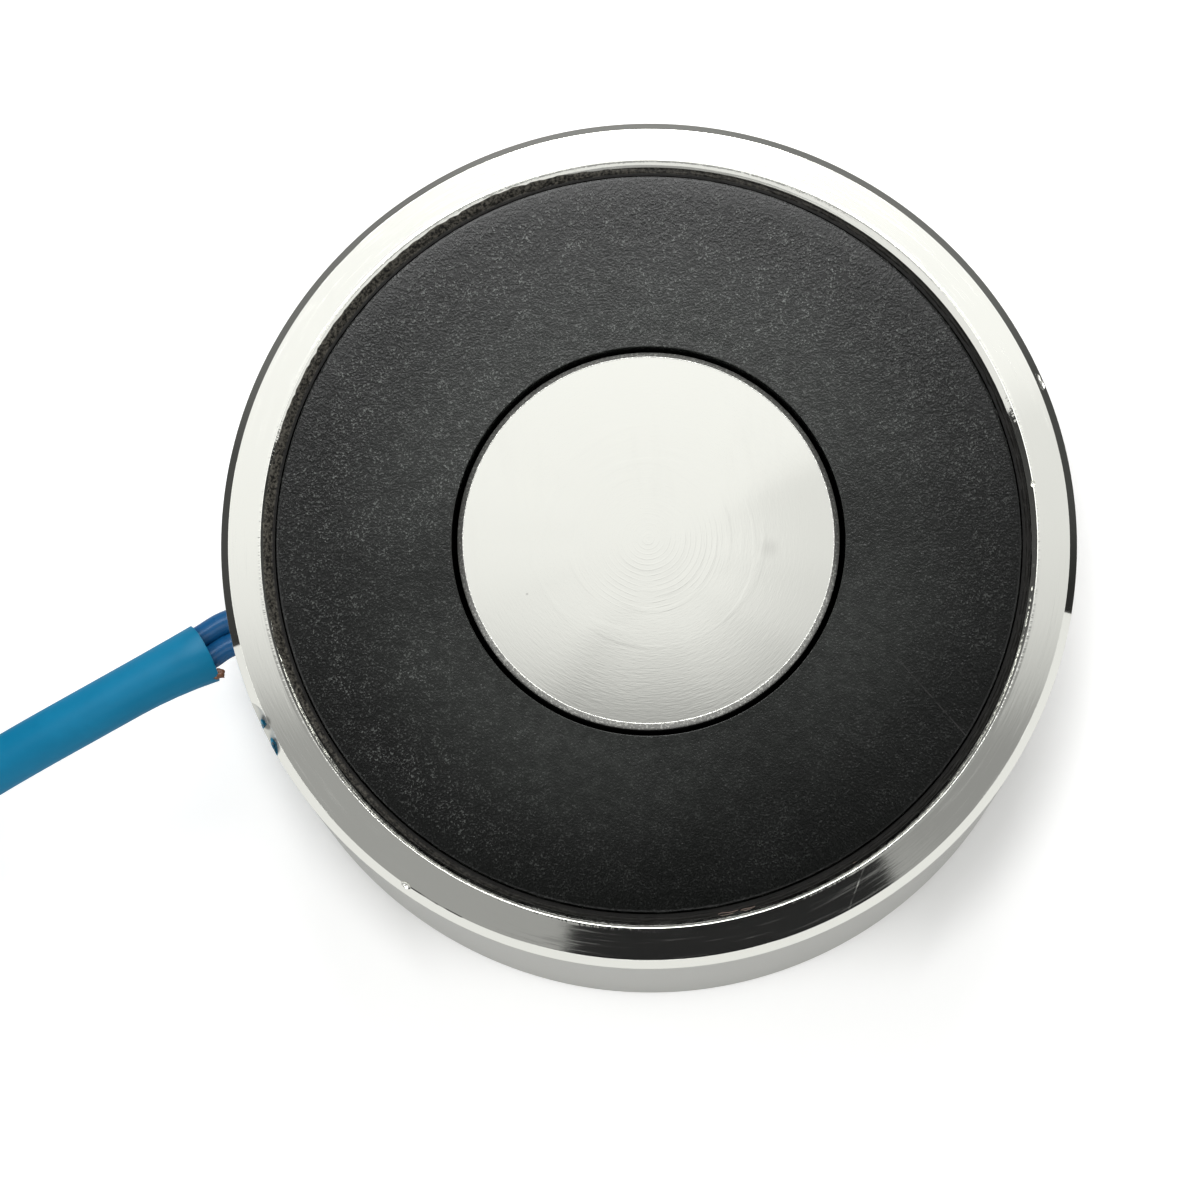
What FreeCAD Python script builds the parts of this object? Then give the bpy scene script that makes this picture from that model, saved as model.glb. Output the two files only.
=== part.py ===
# Round pot electromagnet that holds and lifts steel, lying on its back with the holding face up.
# Millimetres. The origin is the middle of the back face, +Z points out of the holding face,
# and the leads come out of the side wall along -X.
import FreeCAD
import Part
import Sketcher
import math
import os

Vector = FreeCAD.Vector

# Driving sizes
SIZES = [
    ("body_diameter", 65.0),
    ("body_height", 30.0),
    ("rim_wall", 3.5),
    ("core_diameter", 29.0),
    ("back_thickness", 7.5),
    ("rim_outer_chamfer", 0.6),
    ("rim_inner_chamfer", 0.45),
    ("core_chamfer", 0.4),
    ("back_chamfer", 0.8),
    ("tap_drill_diameter", 6.8),
    ("tap_drill_depth", 14.0),
    ("tap_drill_point_angle", 118.0),
    ("thread_countersink", 0.7),
    ("lead_hole_clearance", 0.4),
    ("right_nick_angle", 14.7),
    ("right_nick_radius", 0.8),
    ("right_nick_inset", 0.2),
    ("left_nick_angle", 227.8),
    ("left_nick_radius", 0.5),
    ("left_nick_inset", 0.2),
    ("core_gap", 0.45),
    ("bobbin_tube_wall", 1.2),
    ("bobbin_flange_thickness", 1.8),
    ("bobbin_edge_gap", 0.6),
    ("bobbin_edge_width", 0.9),
    ("bobbin_edge_drop", 0.3),
    ("face_recess", 0.25),
    ("tail_groove_clearance", 0.2),
    ("tail_groove_cover", 0.3),
    ("tape_thickness", 0.3),
    ("resin_recess", 0.6),
    ("resin_plug_recess", 0.4),
    ("splice_wall", 0.225),
    ("splice_length", 8.0),
    ("splice_overlap", 3.0),
    ("splice_clearance", 0.1),
    ("splice_room", 0.7),
    ("splice_angle", 17.0),
    ("solder_wall", 0.3),
    ("tail_diameter", 0.6),
    ("tail_bend_inside", 0.1),
    ("tail_reach", 1.2),
    ("lead_diameter", 1.75),
    ("lead_core_diameter", 0.9),
    ("lead_gap", 0.1),
    ("lead_bend_inside", 0.875),
    ("sleeve_slack", 0.1),
    ("sleeve_wall", 0.25),
    ("sleeve_socket_depth", 4.5),
    ("coil_turn_radius", 26.5),
    ("coil_inner_turn_radius", 20.1),
    ("coil_end_angle", 126.7),
    ("tie_thickness", 0.5),
    ("tie_width", 2.5),
    ("tie_angle", 200.0),
    ("tie_head_length", 4.0),
    ("tie_head_width", 4.0),
    ("tie_head_height", 2.4),
    ("tip_diameter", 1.0),
    ("tip_length", 6.0),
]

# Share of the shorter run that an arc of a free route takes up on each side of its corner
ROUTE_BEND_SHARE = 0.45

doc = FreeCAD.newDocument("PotElectromagnet")
sheet = doc.addObject("Spreadsheet::Sheet", "Sizes")
for row, (alias, size) in enumerate(SIZES, start=1):
    sheet.set(f"A{row}", alias)
    sheet.set(f"B{row}", str(size))
    sheet.setAlias(f"B{row}", alias)
doc.recompute()

# Places that follow from the driving sizes
BODY_RADIUS = "Sizes.body_diameter / 2"
CUP_RADIUS = "(Sizes.body_diameter / 2 - Sizes.rim_wall)"
CORE_RADIUS = "Sizes.core_diameter / 2"
FACE = "Sizes.body_height"
CUP_FLOOR = "Sizes.back_thickness"
BOBBIN_BORE = "(Sizes.core_diameter / 2 + Sizes.core_gap)"
BOBBIN_TUBE = f"({BOBBIN_BORE} + Sizes.bobbin_tube_wall)"
BOBBIN_EDGE = f"({CUP_RADIUS} - Sizes.bobbin_edge_gap)"
BOBBIN_TOP = "(Sizes.body_height - Sizes.face_recess)"
REAR_FLANGE = "(Sizes.back_thickness + Sizes.bobbin_flange_thickness)"
FRONT_FLANGE = f"({BOBBIN_TOP} - Sizes.bobbin_flange_thickness)"
SPLICE_DIAMETER = "(Sizes.lead_diameter + 2 * Sizes.splice_wall)"
SOLDER_DIAMETER = "(Sizes.lead_core_diameter + 2 * Sizes.solder_wall)"
LEAD_SPACE = f"({SPLICE_DIAMETER} + 2 * Sizes.splice_clearance + Sizes.splice_room)"
LEAD_SPACING = "(Sizes.lead_diameter + Sizes.lead_gap)"
LEAD_PAIR = f"({LEAD_SPACING} + Sizes.lead_diameter)"
LEAD_HOLE = f"({LEAD_PAIR} + 2 * Sizes.lead_hole_clearance)"
LEAD_HEIGHT = f"({REAR_FLANGE} + Sizes.splice_clearance + {SPLICE_DIAMETER} / 2)"
TAPE_RADIUS = f"({CUP_RADIUS} - {LEAD_SPACE})"
WINDING_RADIUS = f"({TAPE_RADIUS} - Sizes.tape_thickness)"
SPLICE_CENTRE = f"({TAPE_RADIUS} + Sizes.splice_clearance + {SPLICE_DIAMETER} / 2)"
TAIL_OUT = "(Sizes.splice_length / 2 + Sizes.tail_reach)"
TAIL_ANGLE = f"(180 deg + Sizes.splice_angle * 1 deg + atan({TAIL_OUT} / {SPLICE_CENTRE}))"
GROOVE_WIDTH = "(Sizes.tail_diameter + 2 * Sizes.tail_groove_clearance)"
GROOVE_DEPTH = "(Sizes.tail_diameter + Sizes.tail_groove_cover)"
SLEEVE_BORE = f"({LEAD_PAIR} + 2 * Sizes.sleeve_slack)"
SLEEVE_DIAMETER = f"({SLEEVE_BORE} + 2 * Sizes.sleeve_wall)"
COIL_MIDDLE = f"(Sizes.tie_thickness + {SLEEVE_DIAMETER} / 2)"

# A sketch's own numbers for its axes, its origin and the places on its geometry
H_AXIS, V_AXIS = range(-1, -3, -1)
ORIGIN = H_AXIS
START, END, CENTRE = range(1, 4)

UP = Vector(0, 0, 1)
SIDES = [("a", 1), ("b", -1)]


def value(expression):
    """Number that an expression over the sheet gives."""
    return float(sheet.evalExpression(expression))


def new_body(name, label):
    """Empty body with its label."""
    body = doc.addObject("PartDesign::Body", name)
    body.Label = label
    return body


def sketch_on(body, role, name):
    """Sketch on one of the body's own origin planes."""
    sketch = body.newObject("Sketcher::SketchObject", name)
    plane = next(plane for plane in body.Origin.OriginFeatures if plane.Role == role)
    sketch.AttachmentSupport = [(plane, "")]
    sketch.MapMode = "FlatFace"
    return sketch


def bind(sketch, name, expression, *constraint):
    """Constraint of a sketch, named and bound to an expression."""
    index = sketch.addConstraint(Sketcher.Constraint(*constraint, value(expression)))
    sketch.renameConstraint(index, name)
    sketch.setExpression(f"Constraints.{name}", expression)


def place_point(sketch, geometry, point, across, up):
    """Hold a sketch point at a pair of expressions, on the axis where one is 0."""
    for kind, axis, expression in (("DistanceX", V_AXIS, across), ("DistanceY", H_AXIS, up)):
        if expression == "0":
            sketch.addConstraint(Sketcher.Constraint("PointOnObject", geometry, point, axis))
        else:
            name = f"{kind}_{geometry}_{point}"
            bind(sketch, name, expression, kind, ORIGIN, START, geometry, point)


def outline(sketch, corners):
    """Closed outline of straight lines through corners given as pairs of expressions."""
    places = [Vector(value(across), value(up), 0) for across, up in corners]
    for here, there in zip(places, places[1:] + places[:1]):
        sketch.addGeometry(Part.LineSegment(here, there))
    for line in range(len(corners)):
        following = (line + 1) % len(corners)
        sketch.addConstraint(Sketcher.Constraint("Coincident", line, END, following, START))
    for line, (across, up) in enumerate(corners):
        place_point(sketch, line, START, across, up)


def round_ended(sketch, inner, outer, middle, radius):
    """Closed outline of two level lines and two half circles, between two circle centres."""
    near, far, height, bend = (value(size) for size in (inner, outer, middle, radius))
    inner_centre = Vector(near, height, 0)
    outer_centre = Vector(far, height, 0)
    drop = Vector(0, bend, 0)
    outer_circle = Part.Circle(outer_centre, UP, bend)
    inner_circle = Part.Circle(inner_centre, UP, bend)
    quarter = math.pi / 2
    sketch.addGeometry(Part.LineSegment(inner_centre - drop, outer_centre - drop))
    sketch.addGeometry(Part.ArcOfCircle(outer_circle, -quarter, quarter))
    sketch.addGeometry(Part.LineSegment(outer_centre + drop, inner_centre + drop))
    sketch.addGeometry(Part.ArcOfCircle(inner_circle, quarter, 3 * quarter))
    for curve in range(4):
        sketch.addConstraint(Sketcher.Constraint("Tangent", curve, END, (curve + 1) % 4, START))
    place_point(sketch, 1, CENTRE, outer, middle)
    place_point(sketch, 3, CENTRE, inner, middle)
    bind(sketch, "end_radius", radius, "Radius", 1)


def revolve(body, kind, name, sketch):
    """Full turn of a section about Z, added to the body or cut from it."""
    feature = body.newObject(kind, name)
    feature.Profile = sketch
    feature.ReferenceAxis = (sketch, ["V_Axis"])
    feature.Angle = 360
    doc.recompute()


def turned(body, kind, name, corners):
    """Turned form from the corners of its section."""
    sketch = sketch_on(body, "XZ_Plane", f"{name}Section")
    outline(sketch, corners)
    revolve(body, kind, name, sketch)


def pocket(body, name, sketch, depth):
    """Pocket from a sketch against its normal, which has to remove material."""
    before = body.Shape.Volume
    feature = body.newObject("PartDesign::Pocket", name)
    feature.Profile = sketch
    feature.setExpression("Length", depth)
    doc.recompute()
    if body.Shape.Volume >= before:
        raise RuntimeError(f"{name} removes nothing")


def cylinder(name, radius, height, bottom="0"):
    """Upright cylinder about Z with its sizes bound to expressions."""
    solid = doc.addObject("Part::Cylinder", name)
    solid.setExpression("Radius", radius)
    solid.setExpression("Height", height)
    solid.setExpression("Placement.Base.z", bottom)
    return solid


def cut(name, label, base, *tools):
    """Base less its tools, as a chain of cuts."""
    result = base
    for number, tool in enumerate(tools, start=1):
        step = doc.addObject("Part::Cut", f"{name}{number}")
        step.Base = result
        step.Tool = tool
        result = step
    result.Label = label
    doc.recompute()
    return result


def shaped(name, label, shape):
    """Object that holds a shape made in code."""
    feature = doc.addObject("Part::Feature", name)
    feature.Shape = shape
    feature.Label = label
    return feature


def rounded_path(points, bends):
    """Straight runs through points, joined by tangent arcs of the given radii."""
    edges = []
    begin = points[0]
    for before, corner, after, bend in zip(points, points[1:], points[2:], bends):
        arriving = (corner - before) / (corner - before).Length
        leaving = (after - corner) / (after - corner).Length
        half_turn = arriving.getAngle(leaving) / 2
        setback = bend * math.tan(half_turn)
        inward = leaving - arriving
        middle = corner + inward * (bend * (1 / math.cos(half_turn) - 1) / inward.Length)
        arc_begin = corner - arriving * setback
        arc_end = corner + leaving * setback
        edges.append(Part.LineSegment(begin, arc_begin).toShape())
        edges.append(Part.Arc(arc_begin, middle, arc_end).toShape())
        begin = arc_end
    edges.append(Part.LineSegment(begin, points[-1]).toShape())
    return Part.Wire(edges)


def loose_bends(points):
    """Largest bend at each inner point of a free route that its two runs leave room for."""
    bends = []
    for before, corner, after in zip(points, points[1:], points[2:]):
        shorter = min((corner - before).Length, (after - corner).Length)
        half_turn = (corner - before).getAngle(after - corner) / 2
        bends.append(ROUTE_BEND_SHARE * shorter / math.tan(half_turn))
    return bends


def tube(points, bends, diameter):
    """Round solid of one diameter along a path of runs and arcs."""
    path = rounded_path(points, bends)
    ring = Part.Wire(Part.Circle(points[0], points[1] - points[0], diameter / 2).toShape())
    solid = path.makePipeShell([ring], True, False)
    share = solid.Volume / (math.pi * diameter ** 2 / 4 * path.Length)
    radii = " ".join(f"{bend:.1f}" for bend in bends)
    print(f"tube of {diameter:.2f} mm: length {path.Length:.2f}, volume share {share:.4f}, radii {radii}")
    return solid


def rod(begin, end, diameter):
    """Straight round solid between two points."""
    along = end - begin
    return Part.makeCylinder(diameter / 2, along.Length, begin, along)


def sideways(points, offset):
    """Route moved level and square to its own runs, to the right for a positive offset."""
    moved = []
    for index, point in enumerate(points):
        along = points[min(index + 1, len(points) - 1)] - points[max(index - 1, 0)]
        right = Vector(along.y, -along.x, 0)
        moved.append(point + right * (offset / right.Length))
    return moved


def on_circle(radius, degrees, height):
    """Point at a radius, an angle from +X and a height."""
    angle = math.radians(degrees)
    return Vector(radius * math.cos(angle), radius * math.sin(angle), height)


# Steel cup and centre pole, turned from one bar
magnet_body = new_body("MagnetBody", "magnet_body")
turned(magnet_body, "PartDesign::Revolution", "CupAndCore", [
    ("0", "0"),
    (f"{BODY_RADIUS} - Sizes.back_chamfer", "0"),
    (BODY_RADIUS, "Sizes.back_chamfer"),
    (BODY_RADIUS, f"{FACE} - Sizes.rim_outer_chamfer"),
    (f"{BODY_RADIUS} - Sizes.rim_outer_chamfer", FACE),
    (f"{CUP_RADIUS} + Sizes.rim_inner_chamfer", FACE),
    (CUP_RADIUS, f"{FACE} - Sizes.rim_inner_chamfer"),
    (CUP_RADIUS, CUP_FLOOR),
    (CORE_RADIUS, CUP_FLOOR),
    (CORE_RADIUS, f"{FACE} - Sizes.core_chamfer"),
    (f"{CORE_RADIUS} - Sizes.core_chamfer", FACE),
    ("0", FACE),
])

# Tapped hole in the middle of the back, at its drilled size, with a countersunk mouth
DRILL_RADIUS = "Sizes.tap_drill_diameter / 2"
DRILL_POINT = f"({DRILL_RADIUS} / tan(Sizes.tap_drill_point_angle / 2 * 1 deg))"
turned(magnet_body, "PartDesign::Groove", "TappedHole", [
    ("0", "0"),
    (f"{DRILL_RADIUS} + Sizes.thread_countersink", "0"),
    (DRILL_RADIUS, "Sizes.thread_countersink"),
    (DRILL_RADIUS, "Sizes.tap_drill_depth"),
    ("0", f"Sizes.tap_drill_depth + {DRILL_POINT}"),
])

# Hole through the wall for the leads
hole_sketch = sketch_on(magnet_body, "YZ_Plane", "LeadHoleCircle")
hole_sketch.setExpression("AttachmentOffset.Base.z", f"-{TAPE_RADIUS}")
hole_sketch.addGeometry(Part.Circle(Vector(0, value(LEAD_HEIGHT), 0), UP, value(LEAD_HOLE) / 2))
place_point(hole_sketch, 0, CENTRE, "0", LEAD_HEIGHT)
bind(hole_sketch, "across", LEAD_HOLE, "Diameter", 0)
pocket(magnet_body, "LeadHole", hole_sketch, f"{LEAD_SPACE} + 2 * Sizes.rim_wall")

# Two dents knocked into the edge of the rim
for side in ("right", "left"):
    dent = magnet_body.newObject("PartDesign::SubtractiveSphere", f"{side.capitalize()}Nick")
    angle = f"Sizes.{side}_nick_angle * 1 deg"
    dent.setExpression("Radius", f"Sizes.{side}_nick_radius")
    dent.setExpression("Placement.Base.x", f"({BODY_RADIUS} - Sizes.{side}_nick_inset) * cos({angle})")
    dent.setExpression("Placement.Base.y", f"({BODY_RADIUS} - Sizes.{side}_nick_inset) * sin({angle})")
    dent.setExpression("Placement.Base.z", f"{FACE} - Sizes.{side}_nick_inset")
    doc.recompute()

# Moulded bobbin, open to the outside between its two flanges
coil_bobbin = new_body("CoilBobbin", "coil_bobbin")
turned(coil_bobbin, "PartDesign::Revolution", "Spool", [
    (BOBBIN_BORE, CUP_FLOOR),
    (BOBBIN_EDGE, CUP_FLOOR),
    (BOBBIN_EDGE, REAR_FLANGE),
    (BOBBIN_TUBE, REAR_FLANGE),
    (BOBBIN_TUBE, FRONT_FLANGE),
    (BOBBIN_EDGE, FRONT_FLANGE),
    (BOBBIN_EDGE, f"{BOBBIN_TOP} - Sizes.bobbin_edge_drop"),
    (f"{BOBBIN_EDGE} - Sizes.bobbin_edge_width", BOBBIN_TOP),
    (BOBBIN_BORE, BOBBIN_TOP),
])

# Groove in the rear flange that brings the winding's start out from the tube
groove_sketch = sketch_on(coil_bobbin, "XY_Plane", "TailGrooveOutline")
groove_sketch.setExpression("AttachmentOffset.Base.z", REAR_FLANGE)
groove_sketch.AttachmentOffset.Rotation = FreeCAD.Rotation(UP, value(TAIL_ANGLE))
groove_sketch.setExpression("AttachmentOffset.Rotation.Angle", TAIL_ANGLE)
groove_end = f"{BOBBIN_TUBE} + Sizes.tail_groove_clearance"
outline(groove_sketch, [
    (groove_end, f"-{GROOVE_WIDTH} / 2"),
    (CUP_RADIUS, f"-{GROOVE_WIDTH} / 2"),
    (CUP_RADIUS, f"{GROOVE_WIDTH} / 2"),
    (groove_end, f"{GROOVE_WIDTH} / 2"),
])
pocket(coil_bobbin, "TailGroove", groove_sketch, GROOVE_DEPTH)

# Copper winding in the bobbin's window
window = f"{FRONT_FLANGE} - {REAR_FLANGE}"
coil_winding = cut(
    "Winding", "coil_winding",
    cylinder("WindingOutside", WINDING_RADIUS, window, REAR_FLANGE),
    cylinder("WindingInside", BOBBIN_TUBE, window, REAR_FLANGE))

# Free route of the sleeve, from its mouth to the coil, and of the two bare ends inside that coil.
# Both are given from where the leads leave the wall, and the ends' route runs midway between them.
lead_height = value(LEAD_HEIGHT)
coil_middle = value(COIL_MIDDLE)
tail_level = value("Sizes.lead_diameter / 2")
wall = Vector(-value(BODY_RADIUS), 0, 0)
SLEEVE_ROUTE = [
    wall + Vector(-3.65, -1.1, lead_height),
    wall + Vector(-12.3, -4.6, lead_height),
    wall + Vector(-21.1, -7.6, 7.4),
    wall + Vector(-28.2, -10.3, 4.0),
    wall + Vector(-33.9, -12.1, coil_middle),
]
COIL_CENTRE = wall + Vector(-51.1, 9.7, 0)
coil_end = on_circle(value("Sizes.coil_inner_turn_radius"), value("Sizes.coil_end_angle"), coil_middle)
TAIL_ROUTE = [
    COIL_CENTRE + coil_end,
    wall + Vector(-55.9, 27.6, 1.6),
    wall + Vector(-49.1, 25.2, tail_level),
    wall + Vector(-44.5, 20.0, tail_level),
    wall + Vector(-42.4, 13.6, tail_level),
    wall + Vector(-43.1, 7.2, tail_level),
]

# Lead conductors and their insulation, from the splices through the hole into the sleeve's mouth
half_spacing = value(LEAD_SPACING) / 2
splice_half = value("Sizes.splice_length / 2")
bare_length = splice_half - value("Sizes.splice_overlap")
lead_bend = value("Sizes.lead_diameter / 2 + Sizes.lead_bend_inside")
socket_depth = value("Sizes.sleeve_socket_depth")
mouth = SLEEVE_ROUTE[0]
into_sleeve = (SLEEVE_ROUTE[1] - mouth) / (SLEEVE_ROUTE[1] - mouth).Length

lead_blanks, lead_cores, lead_wires, splice_axes = [], [], [], []
for side, sign in SIDES:
    splice_at = 180 - sign * value("Sizes.splice_angle")
    middle = on_circle(value(SPLICE_CENTRE), splice_at, lead_height)
    onward = on_circle(1, splice_at - sign * 90, 0)
    inner_corner = middle + onward * ((sign * half_spacing - middle.y) / onward.y)
    at_mouth = sideways(SLEEVE_ROUTE, sign * half_spacing)[0]
    outer_corner = at_mouth - into_sleeve * ((at_mouth.y - sign * half_spacing) / into_sleeve.y)
    lead_end = at_mouth + into_sleeve * socket_depth
    lead_route = [middle - onward * bare_length, inner_corner, outer_corner, lead_end]
    bends = [lead_bend, loose_bends(lead_route)[1]]
    core_route = [middle] + lead_route[1:]
    blank = shaped(f"LeadBlank{side}", f"lead_blank_{side}",
                   tube(lead_route, bends, value("Sizes.lead_diameter")))
    core = shaped(f"LeadCore{side}", f"lead_core_{side}",
                  tube(core_route, bends, value("Sizes.lead_core_diameter")))
    lead_blanks.append(blank)
    lead_cores.append(core)
    lead_wires.append(cut(f"LeadWire{side}", f"lead_wire_{side}", blank, core))
    splice_axes.append((middle, onward))

# Ends of the winding: the outer one straight in, the inner one down and along the bobbin's groove
tail_size = value("Sizes.tail_diameter")
tail_bend = value("Sizes.tail_diameter / 2 + Sizes.tail_bend_inside")
tail_out = value(TAIL_OUT)
groove_half = value(GROOVE_DEPTH) / 2
groove_middle = value(REAR_FLANGE) - groove_half
tail_angle = value(TAIL_ANGLE)

finish_middle, finish_onward = splice_axes[0]
finish_out = finish_middle + finish_onward * tail_out
finish_in = on_circle(value(BOBBIN_TUBE), -tail_angle, lead_height)
finish_blank = shaped("FinishBlank", "finish_blank",
                      tube([finish_middle, finish_out, finish_in], [tail_bend], tail_size))
coil_finish_tail = cut("FinishTail", "coil_finish_tail", finish_blank, coil_winding)

start_middle, start_onward = splice_axes[1]
start_out = start_middle + start_onward * tail_out
start_drop = Vector(start_out.x, start_out.y, groove_middle)
start_in = on_circle(value(BOBBIN_TUBE) + tail_size, tail_angle, groove_middle)
start_route = [start_middle, start_out, start_drop, start_in, start_in + UP * groove_half]
coil_start_tail = shaped("StartTail", "coil_start_tail", tube(start_route, [tail_bend] * 3, tail_size))

# Solder joint and sleeving of each splice
solder_joints, splice_blanks, splice_sleeves = [], [], []
tails = [coil_finish_tail, coil_start_tail]
for (side, _), (middle, onward), blank, core, tail in zip(SIDES, splice_axes, lead_blanks, lead_cores, tails):
    solder_blank = shaped(f"SolderBlank{side}", f"solder_blank_{side}", rod(
        middle - onward * bare_length, middle + onward * bare_length, value(SOLDER_DIAMETER)))
    splice_blank = shaped(f"SpliceBlank{side}", f"splice_blank_{side}", rod(
        middle - onward * splice_half, middle + onward * splice_half, value(SPLICE_DIAMETER)))
    solder_joints.append(cut(f"Solder{side}", f"solder_joint_{side}", solder_blank, core, tail))
    splice_blanks.append(splice_blank)
    splice_sleeves.append(cut(f"Sleeving{side}", f"splice_sleeve_{side}",
                              splice_blank, blank, solder_blank, tail))

# Tape round the winding, pierced by the winding's outer end
coil_tape = cut(
    "Tape", "coil_tape",
    cylinder("TapeOutside", TAPE_RADIUS, window, REAR_FLANGE),
    cylinder("TapeInside", WINDING_RADIUS, window, REAR_FLANGE),
    coil_finish_tail)

# Potting resin round the coil and in the lead hole, poured round everything there
resin_body = new_body("ResinRing", "resin_ring")
turned(resin_body, "PartDesign::Revolution", "ResinPour", [
    (BOBBIN_EDGE, CUP_FLOOR),
    (CUP_RADIUS, CUP_FLOOR),
    (CUP_RADIUS, f"{FACE} - Sizes.resin_recess"),
    (BOBBIN_EDGE, f"{FACE} - Sizes.resin_recess"),
    (BOBBIN_EDGE, FRONT_FLANGE),
    (TAPE_RADIUS, FRONT_FLANGE),
    (TAPE_RADIUS, REAR_FLANGE),
    (BOBBIN_EDGE, REAR_FLANGE),
])
resin_plug = cylinder("ResinPlug", f"{LEAD_HOLE} / 2",
                      "Sizes.rim_wall + Sizes.bobbin_edge_gap / 2 - Sizes.resin_plug_recess", LEAD_HEIGHT)
resin_plug.Placement.Rotation = FreeCAD.Rotation(UP, Vector(-1, 0, 0))
resin_plug.setExpression("Placement.Base.x", f"-({CUP_RADIUS} - Sizes.bobbin_edge_gap / 2)")
resin_pour = doc.addObject("Part::MultiFuse", "ResinWithPlug")
resin_pour.Shapes = [resin_body, resin_plug]
resin_fill = cut("Resin", "resin_fill", resin_pour, *lead_blanks, *splice_blanks, *tails)

# Wound-up length of the sleeve, as the closed outer shape of its turns
sleeve_coil = new_body("SleeveCoil", "lead_sleeve_coil")
coil_sketch = sketch_on(sleeve_coil, "XZ_Plane", "CoilSection")
round_ended(coil_sketch, "Sizes.coil_inner_turn_radius", "Sizes.coil_turn_radius",
            COIL_MIDDLE, f"{SLEEVE_DIAMETER} / 2")
revolve(sleeve_coil, "PartDesign::Revolution", "CoilTurns", coil_sketch)
sleeve_coil.Placement.Base = COIL_CENTRE

# Sleeve from its open mouth to the coil
sleeve_blank = shaped("SleeveBlank", "sleeve_blank",
                      tube(SLEEVE_ROUTE, loose_bends(SLEEVE_ROUTE), value(SLEEVE_DIAMETER)))
socket = shaped("SleeveSocket", "sleeve_socket", rod(
    mouth - into_sleeve, mouth + into_sleeve * socket_depth, value(SLEEVE_BORE)))
lead_sleeve = cut("Sleeve", "lead_sleeve", sleeve_blank, socket, sleeve_coil)

# Tie round the coil, with its head on top
tie_band = new_body("TieBand", "tie_band")
tie_sketch = sketch_on(tie_band, "XZ_Plane", "TieSection")
round_ended(tie_sketch, "Sizes.coil_inner_turn_radius", "Sizes.coil_turn_radius",
            COIL_MIDDLE, f"{SLEEVE_DIAMETER} / 2 + Sizes.tie_thickness")
tie_pad = tie_band.newObject("PartDesign::Pad", "TiePad")
tie_pad.Profile = tie_sketch
tie_pad.Midplane = True
tie_pad.setExpression("Length", "Sizes.tie_width")
tie_head = doc.addObject("Part::Box", "TieHead")
tie_head.setExpression("Length", "Sizes.tie_head_length")
tie_head.setExpression("Width", "Sizes.tie_head_width")
tie_head.setExpression("Height", "Sizes.tie_head_height")
doc.recompute()
tie_turn = FreeCAD.Rotation(UP, value("Sizes.tie_angle"))
tie_band.Placement = FreeCAD.Placement(COIL_CENTRE, tie_turn)
head_corner = Vector(
    value("(Sizes.coil_turn_radius + Sizes.coil_inner_turn_radius - Sizes.tie_head_length) / 2"),
    value("-Sizes.tie_head_width / 2"),
    value(f"{SLEEVE_DIAMETER} + Sizes.tie_thickness"))
tie_head.Placement = FreeCAD.Placement(COIL_CENTRE + tie_turn.multVec(head_corner), tie_turn)
tie_blank = doc.addObject("Part::MultiFuse", "TieWithHead")
tie_blank.Shapes = [tie_band, tie_head]
coil_tie = cut("Tie", "coil_tie", tie_blank, sleeve_coil)

# Bare ends of the leads inside the coil, with their tinned tips
lead_tails, tinned_tips = [], []
for side, sign in SIDES:
    tail_route = sideways(TAIL_ROUTE, sign * half_spacing)
    tail_blank = shaped(f"TailBlank{side}", f"tail_blank_{side}",
                        tube(tail_route, loose_bends(tail_route), value("Sizes.lead_diameter")))
    last_run = tail_route[-1] - tail_route[-2]
    tip_end = tail_route[-1] + last_run * (value("Sizes.tip_length") / last_run.Length)
    lead_tails.append(cut(f"LeadTail{side}", f"lead_tail_{side}", tail_blank, sleeve_coil))
    tinned_tips.append(shaped(f"TinnedTip{side}", f"tinned_tip_{side}",
                              rod(tail_route[-1], tip_end, value("Sizes.tip_diameter"))))

PARTS = [
    magnet_body, coil_bobbin, coil_winding, coil_tape, resin_fill, *tails, *solder_joints, *splice_sleeves,
    *lead_cores, *lead_wires, lead_sleeve, sleeve_coil, coil_tie, *lead_tails, *tinned_tips,
]

doc.recompute()
faults = [thing.Name for thing in doc.Objects if "Invalid" in thing.State or "Error" in thing.State]
for part in PARTS:
    if part.Shape.isNull() or not part.Shape.isValid() or len(part.Shape.Solids) != 1:
        faults.append(part.Label)
if faults:
    raise RuntimeError("failed: " + ", ".join(faults))

os.makedirs("parts", exist_ok=True)
for part in PARTS:
    part.Shape.exportStep(f"parts/{part.Label}.step")
    print(f"{part.Label}: {part.Shape.Volume:.1f} cubic mm")
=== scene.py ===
"""Dresses the pot electromagnet in its finishes and sets it in a plain studio."""

import logging
import math
from dataclasses import dataclass
from enum import Enum
from typing import Iterable, Sequence

import bmesh
import bpy
from bmesh.types import BMEdge, BMesh, BMVert
from bpy.types import Material, Mesh, Node, NodeSocket, NodeTree, Object
from mathutils import Matrix, Vector, noise


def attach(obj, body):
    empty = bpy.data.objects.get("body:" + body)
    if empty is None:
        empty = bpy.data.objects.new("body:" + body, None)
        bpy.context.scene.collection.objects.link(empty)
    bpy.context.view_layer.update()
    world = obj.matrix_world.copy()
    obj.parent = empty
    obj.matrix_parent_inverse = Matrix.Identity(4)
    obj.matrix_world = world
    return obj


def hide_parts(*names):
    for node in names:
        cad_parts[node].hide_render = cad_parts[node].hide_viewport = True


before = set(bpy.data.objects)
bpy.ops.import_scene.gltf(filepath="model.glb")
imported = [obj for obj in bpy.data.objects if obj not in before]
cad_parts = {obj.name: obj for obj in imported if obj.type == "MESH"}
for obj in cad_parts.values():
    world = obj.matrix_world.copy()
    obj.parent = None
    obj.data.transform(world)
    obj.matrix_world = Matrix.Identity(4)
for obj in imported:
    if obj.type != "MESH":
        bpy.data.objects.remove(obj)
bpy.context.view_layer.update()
MM = 0.001
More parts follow.
